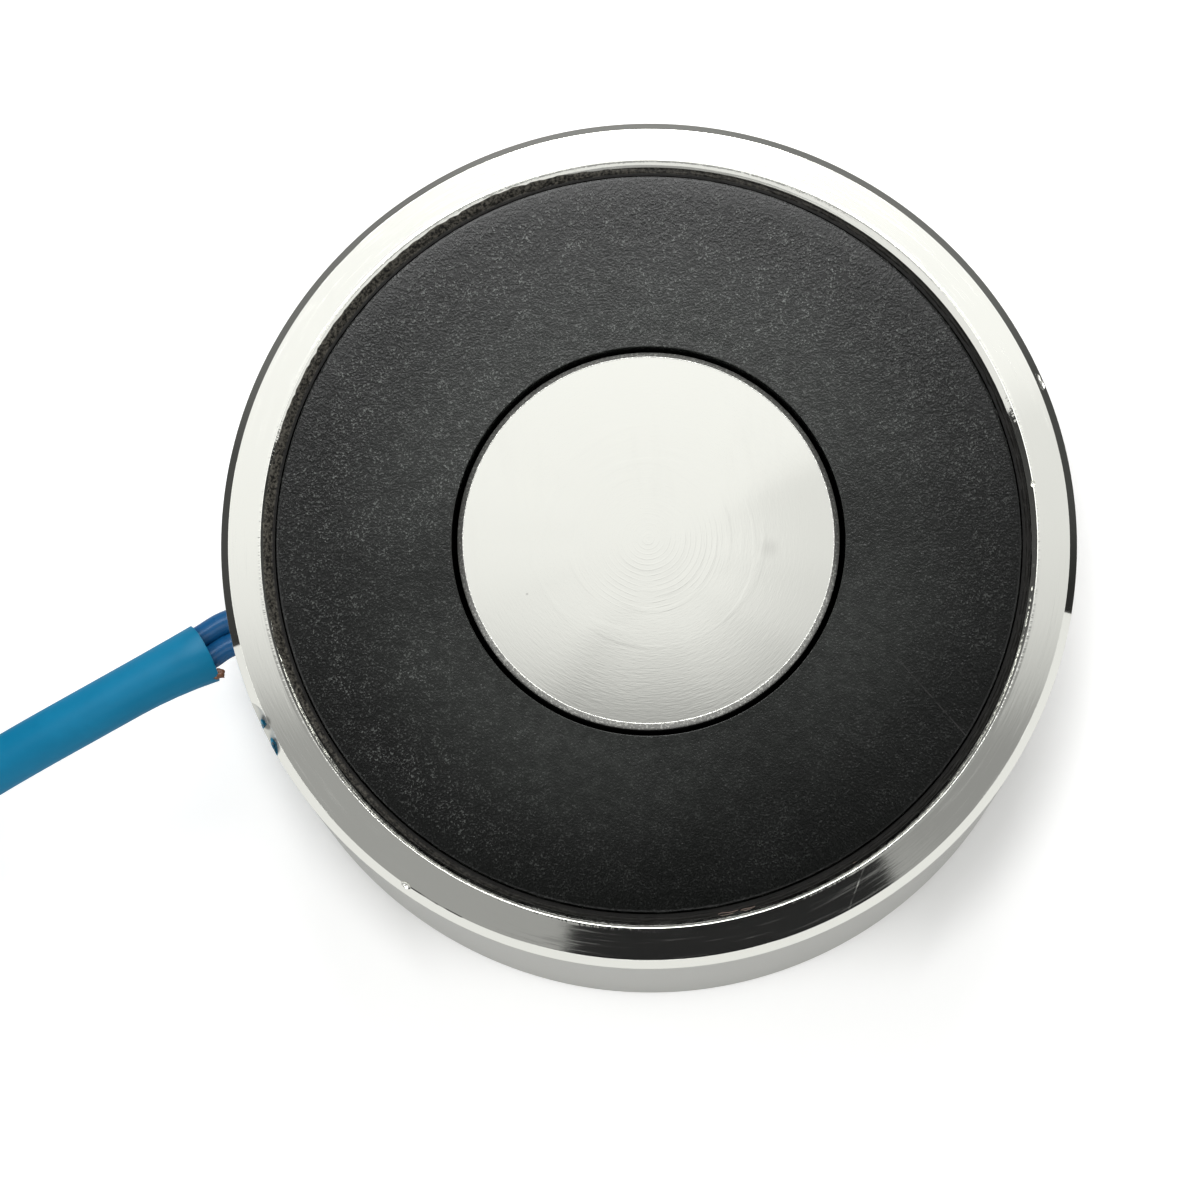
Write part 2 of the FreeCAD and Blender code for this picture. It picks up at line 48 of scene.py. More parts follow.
UP = Vector((0.0, 0.0, 1.0))
ROOT = "root"
CRISP_DEGREES = 2.5
COAT_ROUGHNESS = 0.15
MEASURES = ("LENGTH", "DISTANCE", "DOT_PRODUCT")
log = logging.getLogger("electromagnet")

Colour = tuple[float, float, float]
Point = tuple[float, float, float]
Mark = tuple[Point, Point]
Span = tuple[float, float]
# The two ends of a range, and what they stand for
Ramp = tuple[float, float, float, float]
WHITE: Colour = (1.0, 1.0, 1.0)


class Slot(Enum):
    """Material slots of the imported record."""

    STEEL = "plated_steel"
    BOBBIN = "bobbin_plastic"
    WINDING = "winding_copper"
    TAPE = "winding_tape"
    RESIN = "potting_resin"
    SOLDER = "solder"
    SPLICE = "splice_tube"
    COPPER = "lead_copper"
    INSULATION = "lead_insulation"
    SLEEVE = "sleeve_plastic"
    TIE = "tie_plastic"
    TINNED = "tinned_copper"


class Side(Enum):
    """The two leads, by the side of the pair's middle line that each one runs on."""

    A = 1
    B = -1


# Node trees


class NodeSheet:
    """A node tree with short calls that add and join its nodes."""

    def __init__(self, tree: NodeTree) -> None:
        """Wrap a tree."""
        self.tree = tree

    def add(self, kind: str, settings: dict | None = None, *values: object, **inputs: object) -> Node:
        """Add a node.

        Args:
            kind: the node's type, without the leading ShaderNode.
            settings: attributes of the node itself.
            values: values or sockets for its first inputs, in order.
            inputs: values or sockets for its inputs by name, with _ in place of a blank.

        Returns:
            The new node.
        """
        node = self.tree.nodes.new(f"ShaderNode{kind}")
        for name, setting in (settings or {}).items():
            setattr(node, name, setting)
        for socket, value in zip(node.inputs, values):
            self.feed(socket, value)
        for name, value in inputs.items():
            self.feed(node.inputs[name.replace("_", " ")], value)
        return node

    def feed(self, socket: NodeSocket, value: object) -> None:
        """Join a socket to another one, or set its value.

        Args:
            socket: the socket to feed.
            value: another socket or a plain value, which is three numbers for a colour.
        """
        if isinstance(value, NodeSocket):
            self.tree.links.new(value, socket)
        else:
            socket.default_value = (*value, 1.0) if socket.type == "RGBA" else value

    def maths(self, operation: str, *values: object) -> NodeSocket:
        """Result of a Math node over values or sockets."""
        return self.add("Math", {"operation": operation}, *values).outputs[0]

    def times(self, first: object, *others: object) -> object:
        """Product of values or sockets, one Math node at a time.

        Args:
            first: the first of them.
            others: the rest.

        Returns:
            The product's socket.
        """
        for other in others:
            first = self.maths("MULTIPLY", first, other)
        return first

    def times_add(self, *values: object) -> NodeSocket:
        """Product of two values or sockets, with a third one added to it."""
        return self.maths("MULTIPLY_ADD", *values)

    def vector(self, operation: str, *values: object) -> NodeSocket:
        """Result of a Vector Math node, which is a number where the operation measures."""
        node = self.add("VectorMath", {"operation": operation}, *values)
        return node.outputs["Value" if operation in MEASURES else "Vector"]

    def span(self, value: object, low: float, high: float, to_low: float = 0.0,
             to_high: float = 1.0) -> NodeSocket:
        """Value taken smoothly from one range to another, and held at its ends."""
        settings = {"interpolation_type": "SMOOTHSTEP"}
        return self.add("MapRange", settings, value, low, high, to_low, to_high).outputs[0]

    def fall(self, value: object, low: float, high: float) -> NodeSocket:
        """Mask that falls smoothly from 1 to 0 over a range."""
        return self.span(value, low, high, 1.0, 0.0)

    def band(self, value: object, start: Span, end: Span) -> NodeSocket:
        """Mask that rises over one range and falls over a later one."""
        return self.times(self.span(value, *start), self.fall(value, *end))

    def blend(self, factor: object, first: object, second: object) -> NodeSocket:
        """Colour mixed from two colours or sockets.

        Args:
            factor: share of the second one.
            first: the first colour.
            second: the second colour.

        Returns:
            The mixed colour.
        """
        node = self.add("Mix", {"data_type": "RGBA"})
        for index, value in ((0, factor), (6, first), (7, second)):
            self.feed(node.inputs[index], value)
        return node.outputs[2]

    def noise(self, where: object, scale: object, detail: float = 3.0, roughness: float = 0.55,
              distortion: float = 0.0) -> NodeSocket:
        """Value of a noise texture at a place."""
        return self.add("TexNoise", Vector=where, Scale=scale, Detail=detail, Roughness=roughness,
                        Distortion=distortion).outputs["Fac"]

    def place(self) -> NodeSocket:
        """Object coordinates."""
        return self.add("TexCoord").outputs["Object"]

    def axis(self, where: NodeSocket, letter: str) -> NodeSocket:
        """One of a place's coordinates."""
        return self.add("SeparateXYZ", Vector=where).outputs[letter]

    def level(self, where: NodeSocket) -> NodeSocket:
        """A place without its height."""
        return self.vector("MULTIPLY", where, (1.0, 1.0, 0.0))

    def radius(self, where: NodeSocket) -> NodeSocket:
        """Distance of a place from the part's axis."""
        return self.vector("LENGTH", self.level(where))

    def effect(self, group: NodeTree, **values: float) -> dict[str, NodeSocket]:
        """Place a shared effect, with its own values, and give its outputs by name."""
        return dict(self.add("Group", {"node_tree": group}, **values).outputs.items())

    def bump(self, shader: Node, height: object) -> None:
        """Give a shader a bump of a height in metres."""
        node = self.add("Bump", Height=height, Distance=1.0, Strength=1.0)
        self.feed(shader.inputs["Normal"], node.outputs[0])

    def hairline(self, start: Point, end: Point) -> NodeSocket:
        """Mask of a thin straight mark, broken along its length.

        Args:
            start: where the mark starts, in metres.
            end: where it ends.

        Returns:
            The mask.
        """
        run = Vector(end) - Vector(start)
        where = self.place()
        off = self.vector("SUBTRACT", where, start)
        along = self.vector("DOT_PRODUCT", off, tuple(run / run.length_squared))
        held = self.add("Clamp", Value=along).outputs[0]
        gap = self.vector("DISTANCE", where, self.vector("MULTIPLY_ADD", held, tuple(run), start))
        broken = self.span(self.noise(where, 900.0), 0.35, 0.6)
        return self.times(self.fall(gap, 0.00002, 0.00007), broken)


class SharedEffects:
    """Node groups that several finishes use, each built once."""

    def __init__(self) -> None:
        """Build the groups."""
        self.grain = self.build_grain()
        self.handling = self.build_handling()

    @staticmethod
    def start(name: str, inputs: dict[str, float], outputs: Sequence[str]) -> tuple[NodeSheet, dict, dict]:
        """Start a group of float sockets.

        Args:
            name: name of the group.
            inputs: names and default values of its inputs.
            outputs: names of its outputs.

        Returns:
            Its sheet, its input sockets by name and its output sockets by name.
        """
        tree = bpy.data.node_groups.new(name, "ShaderNodeTree")
        for label, value in inputs.items():
            socket = tree.interface.new_socket(label, in_out="INPUT", socket_type="NodeSocketFloat")
            socket.default_value = value
        for label in outputs:
            tree.interface.new_socket(label, in_out="OUTPUT", socket_type="NodeSocketFloat")
        given = tree.nodes.new("NodeGroupInput")
        wanted = tree.nodes.new("NodeGroupOutput")
        return NodeSheet(tree), dict(given.outputs.items()), dict(wanted.inputs.items())

    def build_grain(self) -> NodeTree:
        """Moulded grain: a fuzzy height, and the pale crowns of its hairs.

        Returns:
            The group.
        """
        inputs = {"Scale": 3000.0, "Specks": 0.6}
        sheet, given, wanted = self.start("moulded_grain", inputs, ("Height", "Speck"))
        where = sheet.place()
        fuzz = sheet.noise(where, given["Scale"], 2.0, 0.6, 0.3)
        coarse = sheet.noise(where, sheet.times(given["Scale"], 0.36), 2.0)
        sheet.feed(wanted["Height"], sheet.times_add(coarse, 0.6, fuzz))
        above = sheet.maths("SUBTRACT", fuzz, given["Specks"])
        sheet.feed(wanted["Speck"], sheet.span(above, -0.02, 0.14))
        return sheet.tree

    def build_handling(self) -> NodeTree:
        """Marks of handling: soft blotches and thin smears.

        Returns:
            The group.
        """
        sheet, given, wanted = self.start("handling_marks", {"Scale": 120.0}, ("Blotch", "Smear"))
        where = sheet.place()
        blotch = sheet.noise(where, given["Scale"], 5.0, 0.6)
        sheet.feed(wanted["Blotch"], sheet.span(blotch, 0.38, 0.68))
        long_way = sheet.vector("MULTIPLY", where, (1.0, 0.18, 1.0))
        smear = sheet.noise(long_way, sheet.times(given["Scale"], 3.0), 4.0, 0.7)
        sheet.feed(wanted["Smear"], sheet.span(smear, 0.55, 0.8))
        return sheet.tree


EFFECTS = SharedEffects()


# Finishes


@dataclass(frozen=True)
class Finish:
    """What every finish has: a name and its plain Principled values."""

    name: str
    colour: Colour
    roughness: float
    metallic: float = 0.0
    specular: float = 0.5
    coat: float = 0.0

    def start(self) -> tuple[Material, NodeSheet, Node]:
        """Start the material.

        Returns:
            The material, its sheet and its Principled BSDF.
        """
        material = bpy.data.materials.new(self.name)
        material.use_nodes = True
        sheet = NodeSheet(material.node_tree)
        shader = material.node_tree.nodes["Principled BSDF"]
        for name, value in (("Base Color", self.colour), ("Roughness", self.roughness),
                            ("Metallic", self.metallic), ("Specular IOR Level", self.specular),
                            ("Coat Weight", self.coat), ("Coat Roughness", COAT_ROUGHNESS)):
            sheet.feed(shader.inputs[name], value)
        material.diffuse_color = (*self.colour, 1.0)
        return material, sheet, shader

    def material(self) -> Material:
        """The finished material."""
        return self.start()[0]


@dataclass(frozen=True)
class Arcs:
    """Lines drawn out round the axis: lines in a metre, changes round the axis and finer layers."""

    scale: float
    around: float
    detail: float = 0.0

    def value(self, sheet: NodeSheet, round_axis: NodeSocket, along: NodeSocket) -> NodeSocket:
        """Noise that is drawn out along the lines.

        Args:
            sheet: the sheet to add to.
            round_axis: unit direction from the axis.
            along: distance across the lines.

        Returns:
            The noise's value.
        """
        across = sheet.add("CombineXYZ", Z=sheet.times(along, self.scale)).outputs[0]
        where = sheet.vector("MULTIPLY_ADD", round_axis, (self.around,) * 3, across)
        return sheet.noise(where, 1.0, self.detail, 0.6)


@dataclass(frozen=True)
class TurnedSteel(Finish):
    """Bright plated steel with the lines that turning leaves and a few marks, with painted shade in the slot
    round the pole, in two big dents and along two grooves. Metres.
    """

    worn: Colour = (0.62, 0.62, 0.58)
    dull: Colour = (0.34, 0.34, 0.325)
    # Painted shade: dark colour of the slot round the pole and of the two big dents.
    painted_shade: Colour = (0.05, 0.05, 0.047)
    hairline_colour: Colour = (0.05, 0.05, 0.05)
    lines: Arcs = Arcs(7500.0, 13.0, 2.0)
    line_height: float = 0.000001
    ring_pitch: float = 0.0004
    ring_height: float = 0.0000007
    ring_reach: float = 0.0066
    ring_side: Ramp = (-0.001, 0.003, 1.0, 0.35)
    broad: Arcs = Arcs(1400.0, 1.1)
    broad_ramp: Ramp = (0.52, 0.7, 0.0, 0.0000009)
    broad_reach: Span = (0.0085, 0.0095)
    fans: Arcs = Arcs(30.0, 2.4)
    fan_ramp: Ramp = (0.003, 0.009, 0.0, 0.000016)
    fan_reach: Span = (0.0148, 0.016)
    chatter: Arcs = Arcs(800.0, 90.0, 2.0)
    chatter_height: float = 0.000012
    core_chatter: float = 0.5
    streaks: Arcs = Arcs(6000.0, 5.0, 2.0)
    streak_ramp: Ramp = (0.52, 0.72, 0.0, 0.07)
    face_from: Span = (0.029, 0.0292)
    rim_from: Span = (0.0285, 0.029)
    rim_edge: float = 0.02945
    rim_edge_half: Span = (0.0001, 0.0003)
    core_edge: float = 0.0143
    core_edge_half: Span = (0.00023, 0.00027)
    core_edge_roughness: float = 0.35
    core_edge_dull: Ramp = (0.52, 0.66, 0.8, 0.1)
    wall_from: Span = (0.0323, 0.0324)
    wall_ramp: Ramp = (0.029, 0.0293, 0.11, 0.0)
    slot_between: tuple[Span, Span] = ((0.0143, 0.0144), (0.0291, 0.0292))
    slot_deep: tuple[Span, Span] = ((0.006, 0.007), (0.0293, 0.0295))
    slot_roughness: float = 0.5
    hand_scale: float = 95.0
    cloud: float = 0.015
    smear: float = 0.12
    scratch_roughness: float = 0.11
    smudge: tuple[Point, Ramp] = ((0.00897, -0.00186, 0.030), (0.0, 0.0011, 0.35, 0.0))
    speck: tuple[Point, Ramp] = ((-0.00965, -0.00295, 0.030), (0.00004, 0.00013, 0.9, 0.0))
    # Places of the two big dents by the leads, painted darker as the dark reflection that they show.
    dents: tuple[Point, ...] = ((-0.03059, -0.01006, 0.0296), (-0.03003, -0.01189, 0.0295))
    dent_shade_ramp: Ramp = (0.0005, 0.00075, 0.72, 0.0)
    scratches: tuple[Mark, ...] = ()
    # Two grooves along the rim's edge by the small dent, painted dark as their shade.
    groove_shade_lines: tuple[Mark, ...] = ()

    def material(self) -> Material:
        """Steel whose lines run round the axis on the faces and round the wall on the side.

        Returns:
            The material.
        """
        material, sheet, shader = self.start()
        where = sheet.place()
        across = sheet.level(where)
        radius = sheet.vector("LENGTH", across)
        height = sheet.axis(where, "Z")
        round_axis = sheet.vector("DIVIDE", across, sheet.maths("MAXIMUM", radius, self.ring_reach))
        along = sheet.maths("ADD", radius, height)
        lines, broad, fans, chatter, streaks = (
            arcs.value(sheet, round_axis, along)
            for arcs in (self.lines, self.broad, self.fans, self.chatter, self.streaks))
        on_face = sheet.span(height, *self.face_from)
        core_edge = sheet.times(on_face, self.close_to(sheet, radius, self.core_edge, self.core_edge_half))
        rim_edge = sheet.times(on_face, self.close_to(sheet, radius, self.rim_edge, self.rim_edge_half))
        # Slot round the pole, below the face, painted dark as its shade.
        slot = sheet.times(sheet.band(radius, *self.slot_between), sheet.band(height, *self.slot_deep))

        relief = sheet.times(lines, self.line_height)
        relief = sheet.times_add(self.tool_rings(sheet, across, radius), self.ring_height, relief)
        relief = sheet.times_add(sheet.span(broad, *self.broad_ramp),
                                 sheet.fall(radius, *self.broad_reach), relief)
        fanned = sheet.times(sheet.span(radius, *self.fan_ramp), sheet.fall(radius, *self.fan_reach))
        relief = sheet.times_add(fans, fanned, relief)
        edges = sheet.times(sheet.times_add(core_edge, self.core_chatter, rim_edge), self.chatter_height)
        sheet.bump(shader, sheet.times_add(chatter, edges, relief))

        hands = sheet.effect(EFFECTS.handling, Scale=self.hand_scale)
        rough = sheet.times_add(hands["Blotch"], self.cloud, self.roughness)
        rough = sheet.times_add(core_edge, self.core_edge_roughness, rough)
        for mark in self.scratches:
            rough = sheet.times_add(sheet.hairline(*mark), self.scratch_roughness, rough)
        rough = sheet.times_add(sheet.span(streaks, *self.streak_ramp),
                                sheet.span(radius, *self.rim_from), rough)
        rough = sheet.times_add(sheet.span(radius, *self.wall_from),
                                sheet.span(height, *self.wall_ramp), rough)
        sheet.feed(shader.inputs["Roughness"], sheet.times_add(slot, self.slot_roughness, rough))

        tint = sheet.times(hands["Smear"], lines, self.smear)
        for at, ramp in (self.smudge, self.speck):
            tint = sheet.maths("ADD", sheet.span(sheet.vector("DISTANCE", where, at), *ramp), tint)
        colour = sheet.blend(tint, self.colour, self.worn)
        dulled = sheet.span(sheet.noise(where, 5200.0, 1.0), *self.core_edge_dull)
        colour = sheet.blend(sheet.times(core_edge, dulled), colour, self.dull)
        # Painted shade: the grooves are drawn as dark lines.
        for mark in self.groove_shade_lines:
            colour = sheet.blend(sheet.hairline(*mark), colour, self.hairline_colour)
        # Painted reflection: the two big dents are darkened, standing in for the shaded lead that they mirror.
        for at in self.dents:
            dent_shade = sheet.span(sheet.vector("DISTANCE", where, at), *self.dent_shade_ramp)
            colour = sheet.blend(dent_shade, colour, self.painted_shade)
        # Painted shade: the slot round the pole is darkened.
        sheet.feed(shader.inputs["Base Color"], sheet.blend(slot, colour, self.painted_shade))
        return material

    @staticmethod
    def close_to(sheet: NodeSheet, radius: NodeSocket, edge: float, half: Span) -> NodeSocket:
        """Mask of the places whose radius is close to that of an edge."""
        return sheet.fall(sheet.maths("ABSOLUTE", sheet.maths("SUBTRACT", radius, edge)), *half)

    def tool_rings(self, sheet: NodeSheet, across: NodeSocket, radius: NodeSocket) -> NodeSocket:
        """Thin broken rings round the middle of the pole's face.

        Args:
            sheet: the sheet to add to.
            across: place, without its height.
            radius: distance from the axis.

        Returns:
            Height of the rings, from 0 to 1.
        """
        phase = sheet.times_add(sheet.noise(across, 220.0, 1.0), self.ring_pitch, radius)
        wave = sheet.maths("PINGPONG", phase, self.ring_pitch / 2)
        ridge = sheet.span(wave, self.ring_pitch * 0.3, self.ring_pitch / 2)
        patches = sheet.span(sheet.noise(across, 330.0, 1.0), 0.28, 0.55)
        near_axis = sheet.fall(radius, self.ring_reach * 0.75, self.ring_reach)
        return sheet.times(ridge, patches, near_axis, sheet.span(sheet.axis(across, "Y"), *self.ring_side))


@dataclass(frozen=True)
class MouldedPlastic(Finish):
    """Moulded plastic with a fine grain, cloudy gloss and pale specks, and pale dust that also paints a sheen,
    where it has ramps for it.

    The ramps go over the distance from the place where the lens card is mirrored, from the axis and from the
    middle line, in metres.
    """

    speck: Colour = (0.19, 0.203, 0.19)
    dust_and_sheen: Colour = (0.036, 0.039, 0.036)
    hairline_colour: Colour = (0.026, 0.026, 0.025)
    # Place where the lens card is mirrored: less dust and fewer specks round it paint that dark reflection.
    dark_reflection_at: Point = (0.0068, -0.022, 0.0297)
    speck_ramps: tuple[Ramp, ...] = ()
    dust_and_sheen_ramps: tuple[Ramp, ...] = ()
    dust_and_sheen_in_patches: Span = (0.35, 0.55)
    grain_scale: float = 6400.0
    grain_height: float = 0.000016
    specks_above: float = 0.56
    specks_in_blotches: Span = (0.4, 0.6)
    patch_scale: float = 1000.0
    patch_ramp: Ramp = (0.38, 0.64, 0.22, 1.0)
    hand_scale: float = 160.0
    cloud: float = 0.04
    smear: float = -0.05
    scratches: tuple[Mark, ...] = ()

    def material(self) -> Material:
        """Plastic with bump, roughness and colour from the shared grain and marks.

        Returns:
            The material.
        """
        material, sheet, shader = self.start()
        where = sheet.place()
        grain = sheet.effect(EFFECTS.grain, Scale=self.grain_scale, Specks=self.specks_above)
        hands = sheet.effect(EFFECTS.handling, Scale=self.hand_scale)
        sheet.bump(shader, sheet.times(grain["Height"], self.grain_height))
        rough = sheet.times_add(hands["Blotch"], self.cloud, self.roughness)
        sheet.feed(shader.inputs["Roughness"], sheet.times_add(hands["Smear"], self.smear, rough))
        patches = sheet.span(sheet.noise(where, self.patch_scale, 3.0, 0.65), *self.patch_ramp)
        specks = sheet.times(grain["Speck"], patches,
                             sheet.times_add(hands["Blotch"], *self.specks_in_blotches))
        colour = self.colour
        # Pale dust that also paints the sheen: paler towards the axis, and darker along the middle line and
        # round the place where the lens card is mirrored.
        if self.dust_and_sheen_ramps:
            places = (sheet.vector("DISTANCE", where, self.dark_reflection_at), sheet.radius(where),
                      sheet.maths("ABSOLUTE", sheet.axis(where, "Y")))
            dust_and_sheen_share = sheet.times_add(patches, *self.dust_and_sheen_in_patches)
            for place, on_specks, on_dust_and_sheen in zip(places, self.speck_ramps, self.dust_and_sheen_ramps):
                specks = sheet.times(specks, sheet.span(place, *on_specks))
                dust_and_sheen_share = sheet.times(dust_and_sheen_share, sheet.span(place, *on_dust_and_sheen))
            colour = sheet.blend(dust_and_sheen_share, colour, self.dust_and_sheen)
        colour = sheet.blend(specks, colour, self.speck)
        for mark in self.scratches:
            colour = sheet.blend(sheet.hairline(*mark), colour, self.hairline_colour)
        sheet.feed(shader.inputs["Base Color"], colour)
        return material


@dataclass(frozen=True)
class SoftPlastic(Finish):
    """Soft drawn plastic: faint ripples, a cloudy gloss and a slightly paler bloom."""

    bloom: Colour = (0.1, 0.3, 0.5)
    bloom_share: float = 0.3
    ripple_scale: float = 900.0
    ripple_height: float = 0.00001
    grain_scale: float = 6000.0
    grain_share: float = 0.25
    hand_scale: float = 220.0
    cloud: float = 0.1

    def material(self) -> Material:
        """Plastic with a faint grain and an uneven bloom.

        Returns:
            The material.
        """
        material, sheet, shader = self.start()
        ripple = sheet.noise(sheet.place(), self.ripple_scale, 2.0)
        grain = sheet.effect(EFFECTS.grain, Scale=self.grain_scale)
        fine = sheet.times_add(grain["Height"], self.grain_share, ripple)
        sheet.bump(shader, sheet.times(fine, self.ripple_height))
        blotch = sheet.effect(EFFECTS.handling, Scale=self.hand_scale)["Blotch"]
        sheet.feed(shader.inputs["Roughness"], sheet.times_add(blotch, self.cloud, self.roughness))
        bloom = sheet.times(blotch, self.bloom_share)
        sheet.feed(shader.inputs["Base Color"], sheet.blend(bloom, self.colour, self.bloom))
        return material


@dataclass(frozen=True)
class CastResin(Finish):
    """Dark cast resin, paler where it is thin, with crumbs of plastic in it. Metres."""

    pale: Colour = (0.13, 0.121, 0.1)
    pale_from: Span = (0.0285, 0.0287)
    pale_towards: Point = (-0.793, 0.609, 0.0)
    pale_ramp: Ramp = (-0.014, 0.028, 0.04, 0.85)
    lump_scale: float = 2300.0
    lump_height: float = 0.00005
    lump_roughness: float = 0.3
    crumb_scale: float = 4600.0
    crumb_span: Span = (0.38, 0.66)

    def material(self) -> Material:
        """Resin with a lumpy skin and pale places, mostly on the side where it has spilt.

        Returns:
            The material.
        """
        material, sheet, shader = self.start()
        where = sheet.place()
        lumps = sheet.noise(where, self.lump_scale, 4.0, 0.65)
        sheet.bump(shader, sheet.times(lumps, self.lump_height))
        thin = sheet.span(sheet.vector("DOT_PRODUCT", where, self.pale_towards), *self.pale_ramp)
        crumbs = sheet.span(sheet.noise(where, self.crumb_scale, 4.0, 0.7), *self.crumb_span)
        share = sheet.times(thin, crumbs, sheet.span(sheet.radius(where), *self.pale_from))
        sheet.feed(shader.inputs["Base Color"], sheet.blend(share, self.colour, self.pale))
        sheet.feed(shader.inputs["Roughness"], sheet.times_add(lumps, self.lump_roughness, self.roughness))
        return material


@dataclass(frozen=True)
class WoundWire(Finish):
    """Wire laid side by side along Z, or bare strands, with painted shade between the turns."""

    turn_shade: Colour = (0.05, 0.02, 0.01)
    pitch: float = 0.0006
    hand_scale: float = 300.0
    cloud: float = 0.12

    def material(self) -> Material:
        """Metal with a round bump for each turn.

        Returns:
            The material.
        """
        material, sheet, shader = self.start()
        turn = sheet.maths("PINGPONG", sheet.axis(sheet.place(), "Z"), self.pitch / 2)
        crown = sheet.span(turn, 0.0, self.pitch / 2)
        sheet.bump(shader, sheet.times(crown, self.pitch / 3))
        # Painted shade: the colour darkens between the turns.
        sheet.feed(shader.inputs["Base Color"], sheet.blend(crown, self.turn_shade, self.colour))
        blotch = sheet.effect(EFFECTS.handling, Scale=self.hand_scale)["Blotch"]
        sheet.feed(shader.inputs["Roughness"], sheet.times_add(blotch, self.cloud, self.roughness))
        return material


SLOT_FINISHES: dict[Slot, Finish] = {
    Slot.STEEL: TurnedSteel(
        "turned_plated_steel", (0.90, 0.905, 0.845), 0.035, 1.0,
        scratches=(((0.0112, -0.0298, 0.03), (0.01285, -0.0267, 0.03)),),
        groove_shade_lines=(((-0.02117, -0.02386, 0.03), (-0.01930, -0.02540, 0.03)),
                 ((-0.01930, -0.02540, 0.03), (-0.01760, -0.02661, 0.03)))),
    Slot.BOBBIN: MouldedPlastic(
        "black_moulded_plastic", (0.0022, 0.0027, 0.0022), 0.13, specular=0.26,
        speck_ramps=((0.011, 0.042, 0.18, 1.0), (0.0258, 0.028, 1.0, 0.5), (0.0, 0.009, 0.7, 1.0)),
        dust_and_sheen_ramps=((0.0, 0.018, 0.4, 1.0), (0.016, 0.0265, 0.78, 0.0), (0.0, 0.009, 0.5, 1.0)),
        scratches=(((0.01699, -0.01075, 0.02975), (0.02201, -0.01831, 0.02975)),)),
    Slot.WINDING: WoundWire("enamelled_copper", (0.52, 0.20, 0.07), 0.25, 1.0, coat=0.6),
    Slot.TAPE: SoftPlastic("amber_tape", (0.62, 0.40, 0.08), 0.35, bloom=(0.70, 0.50, 0.14)),
    Slot.RESIN: CastResin("cast_resin", (0.005, 0.0048, 0.004), 0.4, specular=0.15),
    Slot.SOLDER: WoundWire("tin_solder", (0.60, 0.60, 0.62), 0.28, 1.0, turn_shade=(0.4, 0.4, 0.42),
                           pitch=0.0012),
    Slot.SPLICE: SoftPlastic("black_splice_tube", (0.02, 0.02, 0.02), 0.5, bloom=(0.05, 0.05, 0.05)),
    Slot.COPPER: WoundWire("bare_copper", (0.72, 0.36, 0.20), 0.3, 1.0, pitch=0.0003),
    Slot.INSULATION: SoftPlastic("navy_insulation", (0.0065, 0.098, 0.262), 0.25, specular=0.3,
                                 bloom=(0.012, 0.14, 0.35), ripple_height=0.000003),
    Slot.SLEEVE: SoftPlastic("sky_blue_sleeve", (0.0013, 0.185, 0.35), 0.38, specular=0.16,
                             bloom=(0.003, 0.25, 0.46)),
    Slot.TIE: MouldedPlastic("black_tie_plastic", (0.015, 0.015, 0.016), 0.4, grain_scale=4000.0),
    Slot.TINNED: WoundWire("tinned_strands", (0.60, 0.58, 0.56), 0.3, 1.0, turn_shade=(0.35, 0.33, 0.31),
                           pitch=0.0004),
}
FIBRE = SoftPlastic("copper_fibre", (0.25, 0.17, 0.14), 0.4, bloom=(0.36, 0.28, 0.24))
GLUE = MouldedPlastic("brown_glue", (0.16, 0.06, 0.025), 0.4, speck=(0.3, 0.16, 0.08), grain_scale=5000.0)


class Finishes:
    """The magnet's finishes as materials, each made once."""

    def __init__(self) -> None:
        """Make every material."""
        self.by_slot = {slot: finish.material() for slot, finish in SLOT_FINISHES.items()}
        self.fibre = FIBRE.material()
        self.glue = GLUE.material()

    def dress_node(self, node: str, slot: Slot) -> None:
        """Give a carried-over CAD node its material.

        Args:
            node: name of the node.
            slot: its material slot.
        """
        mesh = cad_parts[node].data
        mesh.materials.clear()
        mesh.materials.append(self.by_slot[slot])

    def piece(self, name: str, bm: BMesh, slot: Slot, *nodes: str, sharp_degrees: float = 5.0,
              material: Material | None = None) -> Object:
        """Turn a shape into a dressed piece of the part.

        Args:
            name: name of the piece.
            bm: its shape, which is freed.
            slot: its material slot.
            nodes: the CAD nodes that it stands for.
            sharp_degrees: edges that turn by more than this stay crisp.
            material: its material, where that isn't the slot's own.

        Returns:
            The piece.
        """
        return enter(finish_mesh(name, bm, material or self.by_slot[slot], sharp_degrees), slot, *nodes)


# Meshes


def millimetres(points: Iterable[Point]) -> list[Vector]:
    """Points given in millimetres, as vectors in metres."""
    return [Vector(point) * MM for point in points]


def lumps(place: Vector, layers: Sequence[Span]) -> float:
    """Sum of noises at a place, each layer a scale and a share."""
    return sum(share * noise.noise(place * scale) for scale, share in layers)


def face_out(bm: BMesh) -> None:
    """Turn a shape's faces outwards."""
    bmesh.ops.recalc_face_normals(bm, faces=bm.faces[:])


def open_edges(bm: BMesh) -> list[BMEdge]:
    """Edges of a shape that have one face."""
    return [edge for edge in bm.edges if edge.is_boundary]


def fill_holes(bm: BMesh) -> None:
    """Close a shape's openings and turn its faces outwards."""
    bmesh.ops.holes_fill(bm, edges=open_edges(bm), sides=0)
    face_out(bm)


def bevel(bm: BMesh, geom: list, offset: float, segments: int = 2, affect: str = "EDGES") -> None:
    """Round some edges of a shape, or some corners of a line."""
    bmesh.ops.bevel(bm, geom=geom, offset=offset, offset_type="OFFSET", affect=affect, segments=segments,
                    profile=0.5, material=-1)


